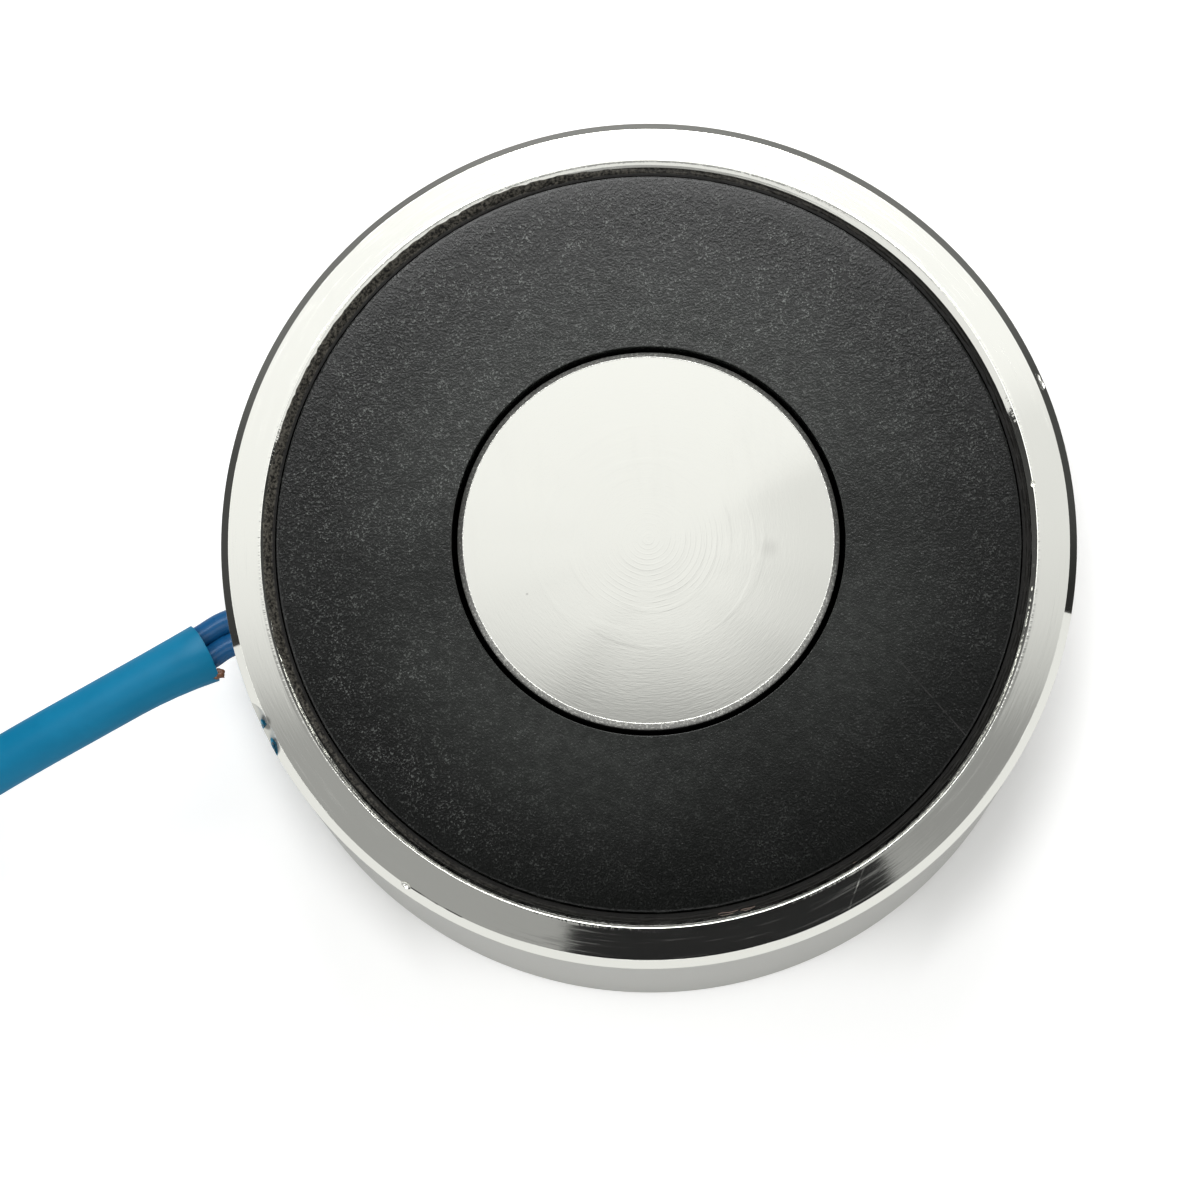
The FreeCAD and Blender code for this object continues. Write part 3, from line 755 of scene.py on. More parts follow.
def spin(bm: BMesh, geom: list, angle: float, steps: int, **options: object) -> dict:
    """Spin geometry, about Z unless the options say otherwise.

    Args:
        bm: the shape.
        geom: what to spin.
        angle: how far, in radians.
        steps: in how many steps.
        options: more options of the operator.

    Returns:
        What the operator gives.
    """
    settings = {"cent": (0, 0, 0), "axis": UP, "use_merge": False, "use_duplicate": False, **options}
    return bmesh.ops.spin(bm, geom=geom, angle=angle, steps=steps, **settings)


def lathe(corners: Sequence[Span], rounding: float, steps: int, closed: bool) -> BMesh:
    """Turn a section about Z.

    Args:
        corners: radius and height of each corner, in millimetres.
        rounding: how far each corner off the axis is rounded back, in millimetres.
        steps: number of steps round the axis.
        closed: whether the section's last corner joins its first.

    Returns:
        The turned shape, with its faces outwards.
    """
    bm = bmesh.new()
    verts = [bm.verts.new((radius * MM, 0.0, height * MM)) for radius, height in corners]
    pairs = list(zip(verts, verts[1:])) + ([(verts[-1], verts[0])] if closed else [])
    for pair in pairs:
        bm.edges.new(pair)
    inner = [vert for vert in verts if len(vert.link_edges) == 2]
    bevel(bm, inner, rounding * MM, 3, "VERTICES")
    spin(bm, bm.verts[:] + bm.edges[:], math.tau, steps, use_merge=True)
    bmesh.ops.remove_doubles(bm, verts=bm.verts[:], dist=1e-7)
    face_out(bm)
    return bm


def finish_mesh(name: str, bm: BMesh, material: Material, sharp_degrees: float = 5.0) -> Object:
    """Turn a bmesh into an object.

    Args:
        name: name of the object and its mesh.
        bm: the shape, which is freed.
        material: its material.
        sharp_degrees: edges that turn by more than this stay crisp.

    Returns:
        The new object, linked to the scene.
    """
    mesh = bpy.data.meshes.new(name)
    bm.to_mesh(mesh)
    bm.free()
    mesh.shade_smooth()
    mesh.set_sharp_from_angle(angle=math.radians(sharp_degrees))
    mesh.materials.append(material)
    piece = bpy.data.objects.new(name, mesh)
    bpy.context.scene.collection.objects.link(piece)
    return piece


def enter(piece: Object, slot: Slot, *nodes: str) -> Object:
    """Ride a piece on the body, and hide the CAD nodes that it stands for.

    Args:
        piece: the piece.
        slot: its material slot; not used.
        nodes: the CAD nodes, if any.

    Returns:
        The piece.
    """
    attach(piece, ROOT)
    if nodes:
        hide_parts(*nodes)
    return piece


def evaluated_mesh(piece: Object) -> Mesh:
    """New mesh of an object as its modifiers or its curve make it."""
    return bpy.data.meshes.new_from_object(piece.evaluated_get(bpy.context.evaluated_depsgraph_get()))


def carve(piece: Object, cutters: Sequence[BMesh]) -> None:
    """Cut shapes out of a piece, and remove them.

    Args:
        piece: the piece.
        cutters: the shapes, which are freed.
    """
    for number, shape in enumerate(cutters):
        cutter = finish_mesh(f"cutter_{number}", shape, piece.data.materials[0])
        modifier = piece.modifiers.new("carve", "BOOLEAN")
        modifier.operation = "DIFFERENCE"
        modifier.solver = "EXACT"
        modifier.object = cutter
        mesh = evaluated_mesh(piece)
        piece.modifiers.clear()
        old, spare = piece.data, cutter.data
        piece.data = mesh
        mesh.name = piece.name
        bpy.data.objects.remove(cutter)
        for unused in (old, spare):
            bpy.data.meshes.remove(unused)
    piece.data.set_sharp_from_angle(angle=math.radians(CRISP_DEGREES))


@dataclass(frozen=True)
class Route:
    """Smooth line of a cord, with the route's points as its control points. Metres."""

    name: str
    points: tuple[Vector, ...]

    def curve(self, radius: float) -> Object:
        """Curve object with the route as a NURBS spline.

        Args:
            radius: radius of the tube round it, or 0 for a bare line.

        Returns:
            The curve, which isn't linked.
        """
        data = bpy.data.curves.new(self.name, "CURVE")
        data.dimensions = "3D"
        data.resolution_u = 10
        data.bevel_depth = radius
        data.bevel_resolution = 7
        spline = data.splines.new("NURBS")
        spline.points.add(len(self.points) - 1)
        for control, point in zip(spline.points, self.points):
            control.co = (*point, 1.0)
        spline.order_u = 3
        spline.use_endpoint_u = True
        return bpy.data.objects.new(self.name, data)

    def mesh(self, radius: float = 0.0) -> Mesh:
        """Mesh of the curve, which is removed.

        Args:
            radius: radius of the tube round it, or 0 for a bare line.

        Returns:
            The mesh.
        """
        curve = self.curve(radius)
        bpy.context.scene.collection.objects.link(curve)
        mesh = evaluated_mesh(curve)
        data = curve.data
        bpy.data.objects.remove(curve)
        bpy.data.curves.remove(data)
        return mesh

    def line(self) -> list[Vector]:
        """Points along the spline.

        Returns:
            The points, in order.
        """
        mesh = self.mesh()
        points = [vert.co.copy() for vert in mesh.vertices]
        bpy.data.meshes.remove(mesh)
        return points

    def add_tube(self, bm: BMesh, radius: float) -> None:
        """Add an open round tube along the spline to a shape.

        Args:
            bm: the shape.
            radius: radius of the tube.
        """
        mesh = self.mesh(radius)
        bm.from_mesh(mesh)
        bpy.data.meshes.remove(mesh)

    def tube(self, radius: float) -> BMesh:
        """Open round tube along the spline.

        Args:
            radius: radius of the tube.

        Returns:
            The tube.
        """
        bm = bmesh.new()
        self.add_tube(bm, radius)
        bmesh.ops.remove_doubles(bm, verts=bm.verts[:], dist=1e-8)
        face_out(bm)
        return bm

    def length(self) -> float:
        """Length of the spline."""
        line = self.line()
        return sum((after - before).length for before, after in zip(line, line[1:]))

    def beside(self, name: str, offset: float) -> "Route":
        """Route moved level and square to its own runs.

        Args:
            name: name of the new route.
            offset: how far to the right it moves.

        Returns:
            The new route.
        """
        moved = []
        for index, point in enumerate(self.points):
            along = self.points[min(index + 1, len(self.points) - 1)] - self.points[max(index - 1, 0)]
            right = Vector((along.y, -along.x, 0.0)).normalized()
            moved.append(point + right * offset)
        return Route(name, tuple(moved))


def end_edges(bm: BMesh, at: Vector, reach: float) -> list[BMEdge]:
    """Open edges of a tube within reach of one of its ends."""
    return [edge for edge in open_edges(bm) if all((vert.co - at).length < reach for vert in edge.verts)]


def extrude(bm: BMesh, edges: list[BMEdge]) -> list[BMEdge]:
    """Extrude open edges, and give the new ones that are open."""
    made = bmesh.ops.extrude_edge_only(bm, edges=edges)["geom"]
    return [item for item in made if isinstance(item, BMEdge) and item.is_boundary]


def edge_verts(edges: Iterable[BMEdge]) -> list[BMVert]:
    """Vertices of some edges, each once."""
    return list({vert for edge in edges for vert in edge.verts})


def hollow_end(bm: BMesh, at: Vector, inward: Vector, radius: float, wall: float, depth: float) -> None:
    """Turn a tube's open end into a cut wall with a bore behind it.

    Args:
        bm: the tube.
        at: middle of its end.
        inward: direction into the tube, of length 1.
        radius: outer radius of the tube.
        wall: thickness of the wall.
        depth: depth of the bore.
    """
    rim = end_edges(bm, at, radius * 1.6)
    lip = extrude(bm, rim)
    inner = ((radius - wall) / radius,) * 3
    bmesh.ops.scale(bm, vec=inner, space=Matrix.Translation(-at), verts=edge_verts(lip))
    bore = extrude(bm, lip)
    bmesh.ops.translate(bm, vec=inward * depth, verts=edge_verts(bore))
    bmesh.ops.scale(bm, vec=inner, space=Matrix.Translation(-at - inward * depth), verts=edge_verts(bore))
    bmesh.ops.contextual_create(bm, geom=bore)
    bevel(bm, rim + lip, wall * 0.25)


def close_ends(bm: BMesh, rounding: float) -> None:
    """Close the open ends of a tube with flat caps and rounded edges.

    Args:
        bm: the tube.
        rounding: how far the caps' edges are rounded back.
    """
    rims = open_edges(bm)
    bmesh.ops.holes_fill(bm, edges=rims, sides=0)
    bevel(bm, rims, rounding)


# Sub-assemblies


@dataclass(frozen=True)
class Dent:
    """A dent in the rim, cut by a lumpy ball. Millimetres.

    It has its angle round the rim, the ball's radius, how far the ball's middle is inside the outer wall and
    below the holding face, and how much longer than wide it is along the rim.
    """

    degrees: float
    radius: float
    inset: float
    below: float
    stretch: float
    lump: float = 0.015
    narrowing: float = 0.8

    def cutter(self, wall: float, face: float) -> BMesh:
        """Build the ball.

        Args:
            wall: radius of the outer wall.
            face: height of the holding face.

        Returns:
            The ball, in its place.
        """
        bm = bmesh.new()
        radius = self.radius * MM
        bmesh.ops.create_icosphere(bm, subdivisions=5, radius=radius)
        for vert in bm.verts:
            vert.co += vert.co.normalized() * (self.lump * MM * noise.noise(vert.co * (1.6 / radius)))
        size = (self.narrowing, self.stretch * self.narrowing, self.narrowing)
        bmesh.ops.scale(bm, vec=size, verts=bm.verts[:])
        turn = Matrix.Rotation(math.radians(self.degrees), 3, "Z")
        bmesh.ops.rotate(bm, cent=(0, 0, 0), matrix=turn, verts=bm.verts[:])
        middle = turn @ Vector((wall - self.inset, 0.0, 0.0)) + Vector((0.0, 0.0, face - self.below))
        bmesh.ops.translate(bm, vec=middle * MM, verts=bm.verts[:])
        return bm


@dataclass
class SteelBody:
    """Cup and centre pole turned from one bar, with a tapped hole in the back. Millimetres."""

    finishes: Finishes
    radius: float = 32.5
    height: float = 30.0
    cup_radius: float = 29.0
    core_radius: float = 14.5
    floor: float = 7.5
    rim_chamfer: float = 0.6
    rim_inner_chamfer: float = 0.45
    rim_facet: Span = (0.045, 0.018)
    core_chamfer: float = 0.40
    back_chamfer: float = 0.8
    rounding: float = 0.015
    tap_radius: float = 3.4
    thread_radius: float = 4.0
    thread_pitch: float = 1.25
    thread_depth: float = 11.0
    thread_mouth: Span = (0.1, 0.15)
    thread_runout: float = 0.4
    ridge_start: float = 0.75
    ridge_clear: float = 1.9
    ridge_share: float = 0.42
    ridge_overlap: float = 0.02
    crest_half: float = 0.08
    drill_depth: float = 14.0
    drill_point: float = 16.04
    lead_hole_at: Point = (-31.0, 0.0, 10.5)
    lead_hole_radius: float = 2.2
    lead_hole_length: float = 10.0
    dents: tuple[Dent, ...] = (
        Dent(14.7, 0.52, 0.12, 0.12, 2.2), Dent(227.8, 0.35, 0.5, 0.0, 1.6),
        Dent(197.6, 5.0, -3.24, -1.09, 1.0), Dent(200.0, 5.0, -3.15, -1.15, 1.0),
        Dent(0.8, 0.24, 3.05, 0.0, 1.4))

    def build(self) -> list[Object]:
        """Build and dress the body and its thread.

        Returns:
            The two pieces.
        """
        steel = self.finishes.by_slot[Slot.STEEL]
        body = finish_mesh("magnet_body_turned", self.turned(), steel, CRISP_DEGREES)
        carve(body, [self.lead_hole(), *(dent.cutter(self.radius, self.height) for dent in self.dents)])
        enter(body, Slot.STEEL, "magnet_body")
        return [body, self.finishes.piece("mounting_thread", self.thread(), Slot.STEEL)]

    def turned(self) -> BMesh:
        """The turned section, all the way round.

        Returns:
            The cup with its pole.
        """
        widening, mouth_depth = self.thread_mouth
        facet_width, facet_drop = self.rim_facet
        inner_edge = self.cup_radius + self.rim_inner_chamfer
        return lathe([
            (0.0, self.drill_point),
            (self.tap_radius, self.drill_depth),
            (self.tap_radius, self.thread_depth),
            (self.thread_radius, self.thread_depth - self.thread_runout),
            (self.thread_radius, mouth_depth),
            (self.thread_radius + widening, 0.0),
            (self.radius - self.back_chamfer, 0.0),
            (self.radius, self.back_chamfer),
            (self.radius, self.height - self.rim_chamfer),
            (self.radius - self.rim_chamfer, self.height),
            (inner_edge + facet_width, self.height),
            (inner_edge, self.height - facet_drop),
            (self.cup_radius, self.height - self.rim_inner_chamfer),
            (self.cup_radius, self.floor),
            (self.core_radius, self.floor),
            (self.core_radius, self.height - self.core_chamfer),
            (self.core_radius - self.core_chamfer, self.height),
            (0.0, self.height),
        ], self.rounding, 256, False)

    def lead_hole(self) -> BMesh:
        """Cutter for the leads' hole through the wall.

        Returns:
            A rod along X.
        """
        bm = bmesh.new()
        radius = self.lead_hole_radius * MM
        bmesh.ops.create_cone(bm, cap_ends=True, segments=48, radius1=radius, radius2=radius,
                              depth=self.lead_hole_length * MM)
        bmesh.ops.rotate(bm, cent=(0, 0, 0), matrix=Matrix.Rotation(math.pi / 2, 3, "Y"), verts=bm.verts[:])
        bmesh.ops.translate(bm, vec=Vector(self.lead_hole_at) * MM, verts=bm.verts[:])
        return bm

    def thread(self) -> BMesh:
        """Ridge of the mounting thread, wound up the hole.

        Returns:
            The ridge, closed at its ends.
        """
        bm = bmesh.new()
        half = self.thread_pitch * self.ridge_share
        root = self.thread_radius + self.ridge_overlap
        corners = ((root, -half), (self.tap_radius, -self.crest_half), (self.tap_radius, self.crest_half),
                   (root, half))
        bm.faces.new([bm.verts.new((radius * MM, 0.0, (height + self.ridge_start) * MM))
                      for radius, height in corners])
        turns = (self.thread_depth - self.ridge_clear) / self.thread_pitch
        steps = int(turns * 48)
        rise = self.thread_pitch * turns / steps * MM
        spin(bm, bm.faces[:] + bm.edges[:] + bm.verts[:], math.tau * turns, steps, dvec=(0.0, 0.0, rise))
        fill_holes(bm)
        return bm


@dataclass
class PottedCoil:
    """Moulded bobbin, its resin bead and the winding behind them. Millimetres."""

    finishes: Finishes
    bore: float = 14.95
    tube: float = 16.15
    edge: float = 28.4
    top: float = 29.75
    back: float = 7.5
    flange: float = 1.8
    edge_width: float = 0.9
    edge_drop: float = 0.3
    edge_lumps: tuple[Span, ...] = ((900.0, 1.0), (2600.0, 0.7))
    edge_lump: float = 0.1
    cup_radius: float = 29.0
    resin_top: float = 29.4
    resin_depth: float = 0.2
    crown: float = 28.72
    bead_lumps: tuple[Span, ...] = ((1100.0, 1.0), (3100.0, 0.8), (7000.0, 0.5))
    bead_lump: float = 0.08
    spill_out: Span = (0.3, 0.06)
    spill_up: float = 0.55
    face: float = 29.97
    spill_degrees: float = 146.0
    spill_reach: float = 64.0
    fibre_radius: float = 0.015
    lump_degrees: float = 60.0
    fibre_runs: tuple[tuple[Point, ...], ...] = (
        ((1.5, -28.84, 29.5), (1.72, -28.76, 29.6), (2.2, -28.82, 29.58), (2.7, -28.78, 29.56),
         (3.0, -28.72, 29.5)),
        ((3.2, -28.76, 29.5), (3.5, -28.68, 29.6), (3.9, -28.7, 29.58), (4.3, -28.6, 29.5)),
        ((11.9, -26.5, 29.4), (12.1, -26.3, 29.56), (12.4, -26.25, 29.5)))

    def build(self) -> list[Object]:
        """Build the bobbin, the bead and the fibres, and dress the pieces that the coil keeps inside.

        Returns:
            The new pieces.
        """
        make = self.finishes.piece
        pieces = [
            make("coil_bobbin_moulded", self.spool(), Slot.BOBBIN, "coil_bobbin"),
            make("resin_bead", self.bead(), Slot.RESIN, sharp_degrees=self.lump_degrees),
            make("stray_fibres", self.fibres(), Slot.WINDING, sharp_degrees=self.lump_degrees,
                 material=self.finishes.fibre)]
        inside = {
            Slot.WINDING: ("coil_winding", "coil_start_tail", "coil_finish_tail"),
            Slot.TAPE: ("coil_tape",),
            Slot.RESIN: ("resin_fill",),
            Slot.SOLDER: ("solder_joint_a", "solder_joint_b"),
            Slot.SPLICE: ("splice_sleeve_a", "splice_sleeve_b"),
            Slot.COPPER: ("lead_core_a", "lead_core_b"),
        }
        for slot, nodes in inside.items():
            for node in nodes:
                self.finishes.dress_node(node, slot)
        return pieces

    def spool(self) -> BMesh:
        """The bobbin, with a faint sink mark over its tube and a slightly uneven outer edge.

        Returns:
            The bobbin.
        """
        bm = lathe([
            (self.bore, self.back),
            (self.edge, self.back),
            (self.edge, self.back + self.flange),
            (self.tube, self.back + self.flange),
            (self.tube, self.top - self.flange),
            (self.edge, self.top - self.flange),
            (self.edge, self.top - self.edge_drop),
            (self.edge - 0.1, self.top - 0.05),
            (self.edge - 0.3, self.top - 0.012),
            (self.edge - self.edge_width - 0.8, self.top),
            (self.tube + 0.25, self.top),
            (self.tube - 0.2, self.top - 0.004),
            (self.tube - 0.65, self.top),
            (self.bore, self.top),
        ], 0.06, 256, True)
        for vert in bm.verts:
            radius = math.hypot(vert.co.x, vert.co.y)
            if radius > (self.edge - 0.15) * MM and vert.co.z > (self.top - self.flange) * MM:
                lump = lumps(Vector((vert.co.x, vert.co.y, 0.0)), self.edge_lumps)
                shrink = 1.0 + self.edge_lump * MM * (lump - 0.8) / radius
                vert.co.x *= shrink
                vert.co.y *= shrink
        return bm

    def bead(self) -> BMesh:
        """Ragged bead of resin between the bobbin's edge and the rim, which it climbs on one side.

        Returns:
            The bead.
        """
        low = self.resin_top - self.resin_depth
        outside = self.cup_radius - 0.02
        bm = lathe([
            (self.edge + 0.14, low),
            (self.edge + 0.2, self.resin_top - 0.02),
            (self.crown, self.resin_top + 0.06),
            (self.cup_radius - 0.16, self.resin_top + 0.05),
            (self.cup_radius - 0.06, self.resin_top - 0.02),
            (outside, low),
        ], 0.03, 512, True)
        out_least, out_lump = self.spill_out
        for vert in bm.verts:
            place = Vector((vert.co.x, vert.co.y, 0.0))
            lump = lumps(place, self.bead_lumps)
            if vert.co.z > low * MM:
                vert.co.z += lump * self.bead_lump * MM
            out = (place.length / MM - self.crown) / (outside - self.crown)
            climb = max(0.0, out) * self.spill(math.degrees(math.atan2(place.y, place.x)) % 360.0)
            vert.co += place.normalized() * (climb * (out_least + out_lump * lump) * MM)
            vert.co.z = min(vert.co.z + climb * self.spill_up * MM, self.face * MM)
        return bm

    def spill(self, degrees: float) -> float:
        """Share by which the resin has climbed the rim's edge at an angle round the axis."""
        inside = 1.0 - abs(degrees - self.spill_degrees) / self.spill_reach
        return min(1.0, max(0.0, 3.0 * inside))

    def fibres(self) -> BMesh:
        """Stray fibres caught in the seam by the rim.

        Returns:
            The fibres.
        """
        bm = bmesh.new()
        for run in self.fibre_runs:
            Route("fibre_line", tuple(millimetres(run))).add_tube(bm, self.fibre_radius * MM)
        fill_holes(bm)
        return bm


@dataclass
class LeadSet:
    """Two leads in a sleeve, wound up and tied, with bare ends. Millimetres."""

    finishes: Finishes
    lead_radius: float = 0.875
    lead_offset: float = 0.925
    pressed_radius: float = 0.95
    lead_lift: float = 0.42
    lead_start: float = -29.6
    lead_straight: float = -33.4
    lead_rounding: float = 0.08
    round_degrees: float = 40.0
    sleeve_radius: float = 2.15
    sleeve_wall: float = 0.25
    mouth_step: float = 0.5
    mouth_depth: float = 4.5
    mouth_lean: float = 0.2
    flare_length: float = 7.0
    flare: float = 0.06
    flare_aside: float = 0.6
    speck_radius: float = 0.42
    speck_size: Point = (1.3, 0.9, 0.8)
    speck_at: Point = (-35.05, -3.25, 11.3)
    tuck: float = 2.0
    coil_radius: float = 26.5
    coil_end_radius: float = 20.1
    coil_height: float = 2.65
    coil_start_degrees: float = -68.3
    coil_turn_degrees: float = 525.0
    step_in_degrees: float = 210.0
    stepped_in_degrees: float = 400.0
    coil_points: int = 29
    strands: int = 6
    tip_length: float = 6.0
    tip_inside: float = 0.5
    tip_radius: float = 0.5
    tip_steps: int = 24
    tip_twist_degrees: float = 300.0
    tie_degrees: float = 200.0
    tie_clear: float = 0.02
    tie_thickness: float = 0.5
    tie_width: float = 2.5
    tie_head: float = 4.0
    tie_head_height: float = 2.4
    tie_slot: Span = (0.55, 0.9)
    tie_rounding: float = 0.2
    coil_centre: Point = (-83.6, 9.7, 0.0)
    run_out: tuple[Point, ...] = (
        (-36.15, -1.1, 10.5), (-44.8, -4.6, 10.5), (-53.6, -7.6, 7.4), (-60.7, -10.3, 4.0),
        (-66.4, -12.1, 2.65))
    tail: tuple[Point, ...] = (
        (-95.61, 25.82, 2.65), (-88.4, 27.6, 1.6), (-81.6, 25.2, 0.875), (-77.0, 20.0, 0.875),
        (-74.9, 13.6, 0.875), (-75.6, 7.2, 0.875))

    def build(self) -> list[Object]:
        """Returns:
            The new pieces.
        """
        leads = [self.lead(side) for side in Side]
        tie = self.tie()
        speck = self.glue_speck()
        sleeve_route = self.sleeve_route()
        sleeve = self.sleeve(sleeve_route)
        line = sleeve_route.line()
        sleeve_route.length()
        inward = (line[-2] - line[-1]).normalized()
        ends = [piece for side in Side for piece in self.bare_end(side, inward)]
        return [*leads, sleeve, tie, speck, *ends]

    def lead(self, side: Side) -> Object:
        """One lead, from inside the wall into the sleeve's mouth.

        Args:
            side: which lead.

        Returns:
            The lead.
        """
        mouth, onward = (Vector(point) for point in self.run_out[:2])
        into = (onward - mouth).normalized()
        aside = side.value * self.pressed_radius
        at_mouth = mouth + Vector((into.y, -into.x, 0.0)) * aside
        level = aside + self.lead_lift
        letter = side.name.lower()
        points = [(self.lead_start, level, mouth.z), (self.lead_straight, level, mouth.z),
                  at_mouth + into * self.mouth_step, at_mouth + into * self.mouth_depth]
        bm = Route(f"lead_{letter}", tuple(millimetres(points))).tube(self.pressed_radius * MM)
        close_ends(bm, self.lead_rounding * MM)
        return self.finishes.piece(f"lead_wire_{letter}_drawn", bm, Slot.INSULATION, f"lead_wire_{letter}",
                                   sharp_degrees=self.round_degrees)

    def sleeve_route(self) -> Route:
        """Route of the sleeve, out to the coil and round its turns.

        Returns:
            The route.
        """
        points = [Vector(point) for point in self.run_out]
        centre = Vector(self.coil_centre)
        for number in range(self.coil_points):
            turned = self.coil_turn_degrees * number / (self.coil_points - 1)
            angle = math.radians(self.coil_start_degrees - turned)
            step = (turned - self.step_in_degrees) / (self.stepped_in_degrees - self.step_in_degrees)
            step = min(max(step, 0.0), 1.0)
            ease = step * step * (3.0 - 2.0 * step)
            radius = self.coil_radius + ease * (self.coil_end_radius - self.coil_radius)
            out = Vector((radius * math.cos(angle), radius * math.sin(angle), self.coil_height))
            points.append(centre + out)
        return Route("lead_sleeve_line", tuple(point * MM for point in points))

    def sleeve(self, route: Route) -> Object:
        """The sleeve as one tube, flared at its mouth, and open and cut at both ends.

        Args:
            route: its route.

        Returns:
            The sleeve.
        """
        radius = self.sleeve_radius * MM
        bm = route.tube(radius)
        line = route.line()
        into = (line[1] - line[0]).normalized()
        low = Vector((-into.y, into.x, 0.0))
        for vert in bm.verts:
            behind = (vert.co - line[0]).dot(into)
            if (vert.co - line[0]).length < self.flare_length * 1.3 * MM and behind < self.flare_length * MM:
                share = min(1.0, 1.0 - behind / (self.flare_length * MM)) ** 2
                outward = vert.co - line[0] - into * behind
                lean = max(0.0, outward.normalized().dot(low))
                vert.co += outward.normalized() * (share * (self.flare + self.flare_aside * lean) * MM)
                vert.co -= into * (share * self.mouth_lean * max(0.0, outward.z))
        for at, inward in ((line[0], into), (line[-1], (line[-2] - line[-1]).normalized())):
            hollow_end(bm, at, inward, radius, self.sleeve_wall * MM, self.mouth_depth * MM)
        face_out(bm)
        return self.finishes.piece("lead_sleeve_drawn", bm, Slot.SLEEVE, "lead_sleeve", "lead_sleeve_coil",
                                   sharp_degrees=self.round_degrees)

    def glue_speck(self) -> Object:
        """Speck of brown glue on the lip of the sleeve's mouth.

        Returns:
            The speck.
        """
        bm = bmesh.new()
        bmesh.ops.create_icosphere(bm, subdivisions=3, radius=self.speck_radius * MM)
        for vert in bm.verts:
            vert.co *= 1.0 + 0.5 * noise.noise(vert.co * 4200.0)
        bmesh.ops.scale(bm, vec=self.speck_size, verts=bm.verts[:])
        bmesh.ops.translate(bm, vec=Vector(self.speck_at) * MM, verts=bm.verts[:])
        return self.finishes.piece("mouth_glue_speck", bm, Slot.SLEEVE, sharp_degrees=80.0,
                                   material=self.finishes.glue)

    def bare_end(self, side: Side, inward: Vector) -> list[Object]:
        """One lead's far end with its tinned tip.

        Args:
            side: which lead.
            inward: direction into the sleeve that it comes out of.

        Returns:
            The insulated end and its tip.
        """
        letter = side.name.lower()
        middle = Route("tail_line", tuple(millimetres(self.tail)))
        route = middle.beside(f"lead_tail_{letter}_line", side.value * self.lead_offset * MM)
        bm = route.tube(self.lead_radius * MM)
        tucked = extrude(bm, end_edges(bm, route.points[0], 2 * MM))
        bmesh.ops.translate(bm, vec=inward * (self.tuck * MM), verts=edge_verts(tucked))
        close_ends(bm, self.lead_rounding * MM)
        end = self.finishes.piece(f"lead_tail_{letter}_drawn", bm, Slot.INSULATION, f"lead_tail_{letter}",
                                  sharp_degrees=self.round_degrees)
        tip = self.tip(letter, route.points[-1], (route.points[-1] - route.points[-2]).normalized())
        route.length()
        route.line()
        return [end, tip]

    def tip(self, letter: str, at: Vector, along: Vector) -> Object:
        """Tinned strands, twisted round one in the middle.

        Args:
            letter: which lead's.
            at: middle of the insulation's end.
            along: direction that the strands point in.

        Returns:
            The tip.
        """
        bm = bmesh.new()
        strand = self.tip_radius / 3 * MM
        bmesh.ops.create_circle(bm, cap_ends=False, segments=10, radius=strand)
        for number in range(self.strands):
            made = bmesh.ops.create_circle(bm, cap_ends=False, segments=10, radius=strand)
            turn = Matrix.Rotation(math.tau * number / self.strands, 4, "Z")
            move = Matrix.Translation((2 * strand, 0, 0))
            bmesh.ops.transform(bm, matrix=turn @ move, verts=made["verts"])
        rise = (self.tip_length + self.tip_inside) / self.tip_steps * MM
        spin(bm, bm.verts[:] + bm.edges[:], math.radians(self.tip_twist_degrees), self.tip_steps,
             dvec=(0.0, 0.0, rise))
        close_ends(bm, 0.03 * MM)
        face_out(bm)
        stand = along.to_track_quat("Z", "Y").to_matrix().to_4x4()
        place = Matrix.Translation(at - along * self.tip_inside * MM) @ stand
        bmesh.ops.transform(bm, matrix=place, verts=bm.verts[:])
        return self.finishes.piece(f"tinned_tip_{letter}_strands", bm, Slot.TINNED, f"tinned_tip_{letter}",
                                   sharp_degrees=self.round_degrees)

    def tie(self) -> Object:
        """Tie round the coil's turns, with its head on top.

        Returns:
            The tie.
        """
        bm = self.tie_band()
        top = 2 * self.sleeve_radius + self.tie_thickness
        middle = (self.coil_radius + self.coil_end_radius) / 2
        head = bmesh.ops.create_cube(bm, size=1.0)["verts"]
        size = Vector((self.tie_head, self.tie_head, self.tie_head_height)) * MM
        bmesh.ops.scale(bm, vec=size, verts=head)
        bmesh.ops.translate(bm, vec=Vector((middle, 0.0, top + self.tie_head_height / 2)) * MM, verts=head)
        faces = list({face for vert in head for face in vert.link_faces})
        slot_faces = [face for face in faces if abs(face.normal.x) > 0.9]
        frame_width, slot_depth = self.tie_slot
        bmesh.ops.inset_individual(bm, faces=slot_faces, thickness=frame_width * MM, depth=0.0)
        bmesh.ops.inset_individual(bm, faces=slot_faces, thickness=0.05 * MM, depth=-slot_depth * MM)
        bevel(bm, list({edge for vert in head for edge in vert.link_edges}), self.tie_rounding * MM, 3)
        face_out(bm)
        place = (Matrix.Translation(Vector(self.coil_centre) * MM)
                 @ Matrix.Rotation(math.radians(self.tie_degrees), 4, "Z"))
        bmesh.ops.transform(bm, matrix=place, verts=bm.verts[:])
        return self.finishes.piece("coil_tie_moulded", bm, Slot.TIE, "coil_tie", sharp_degrees=35.0)

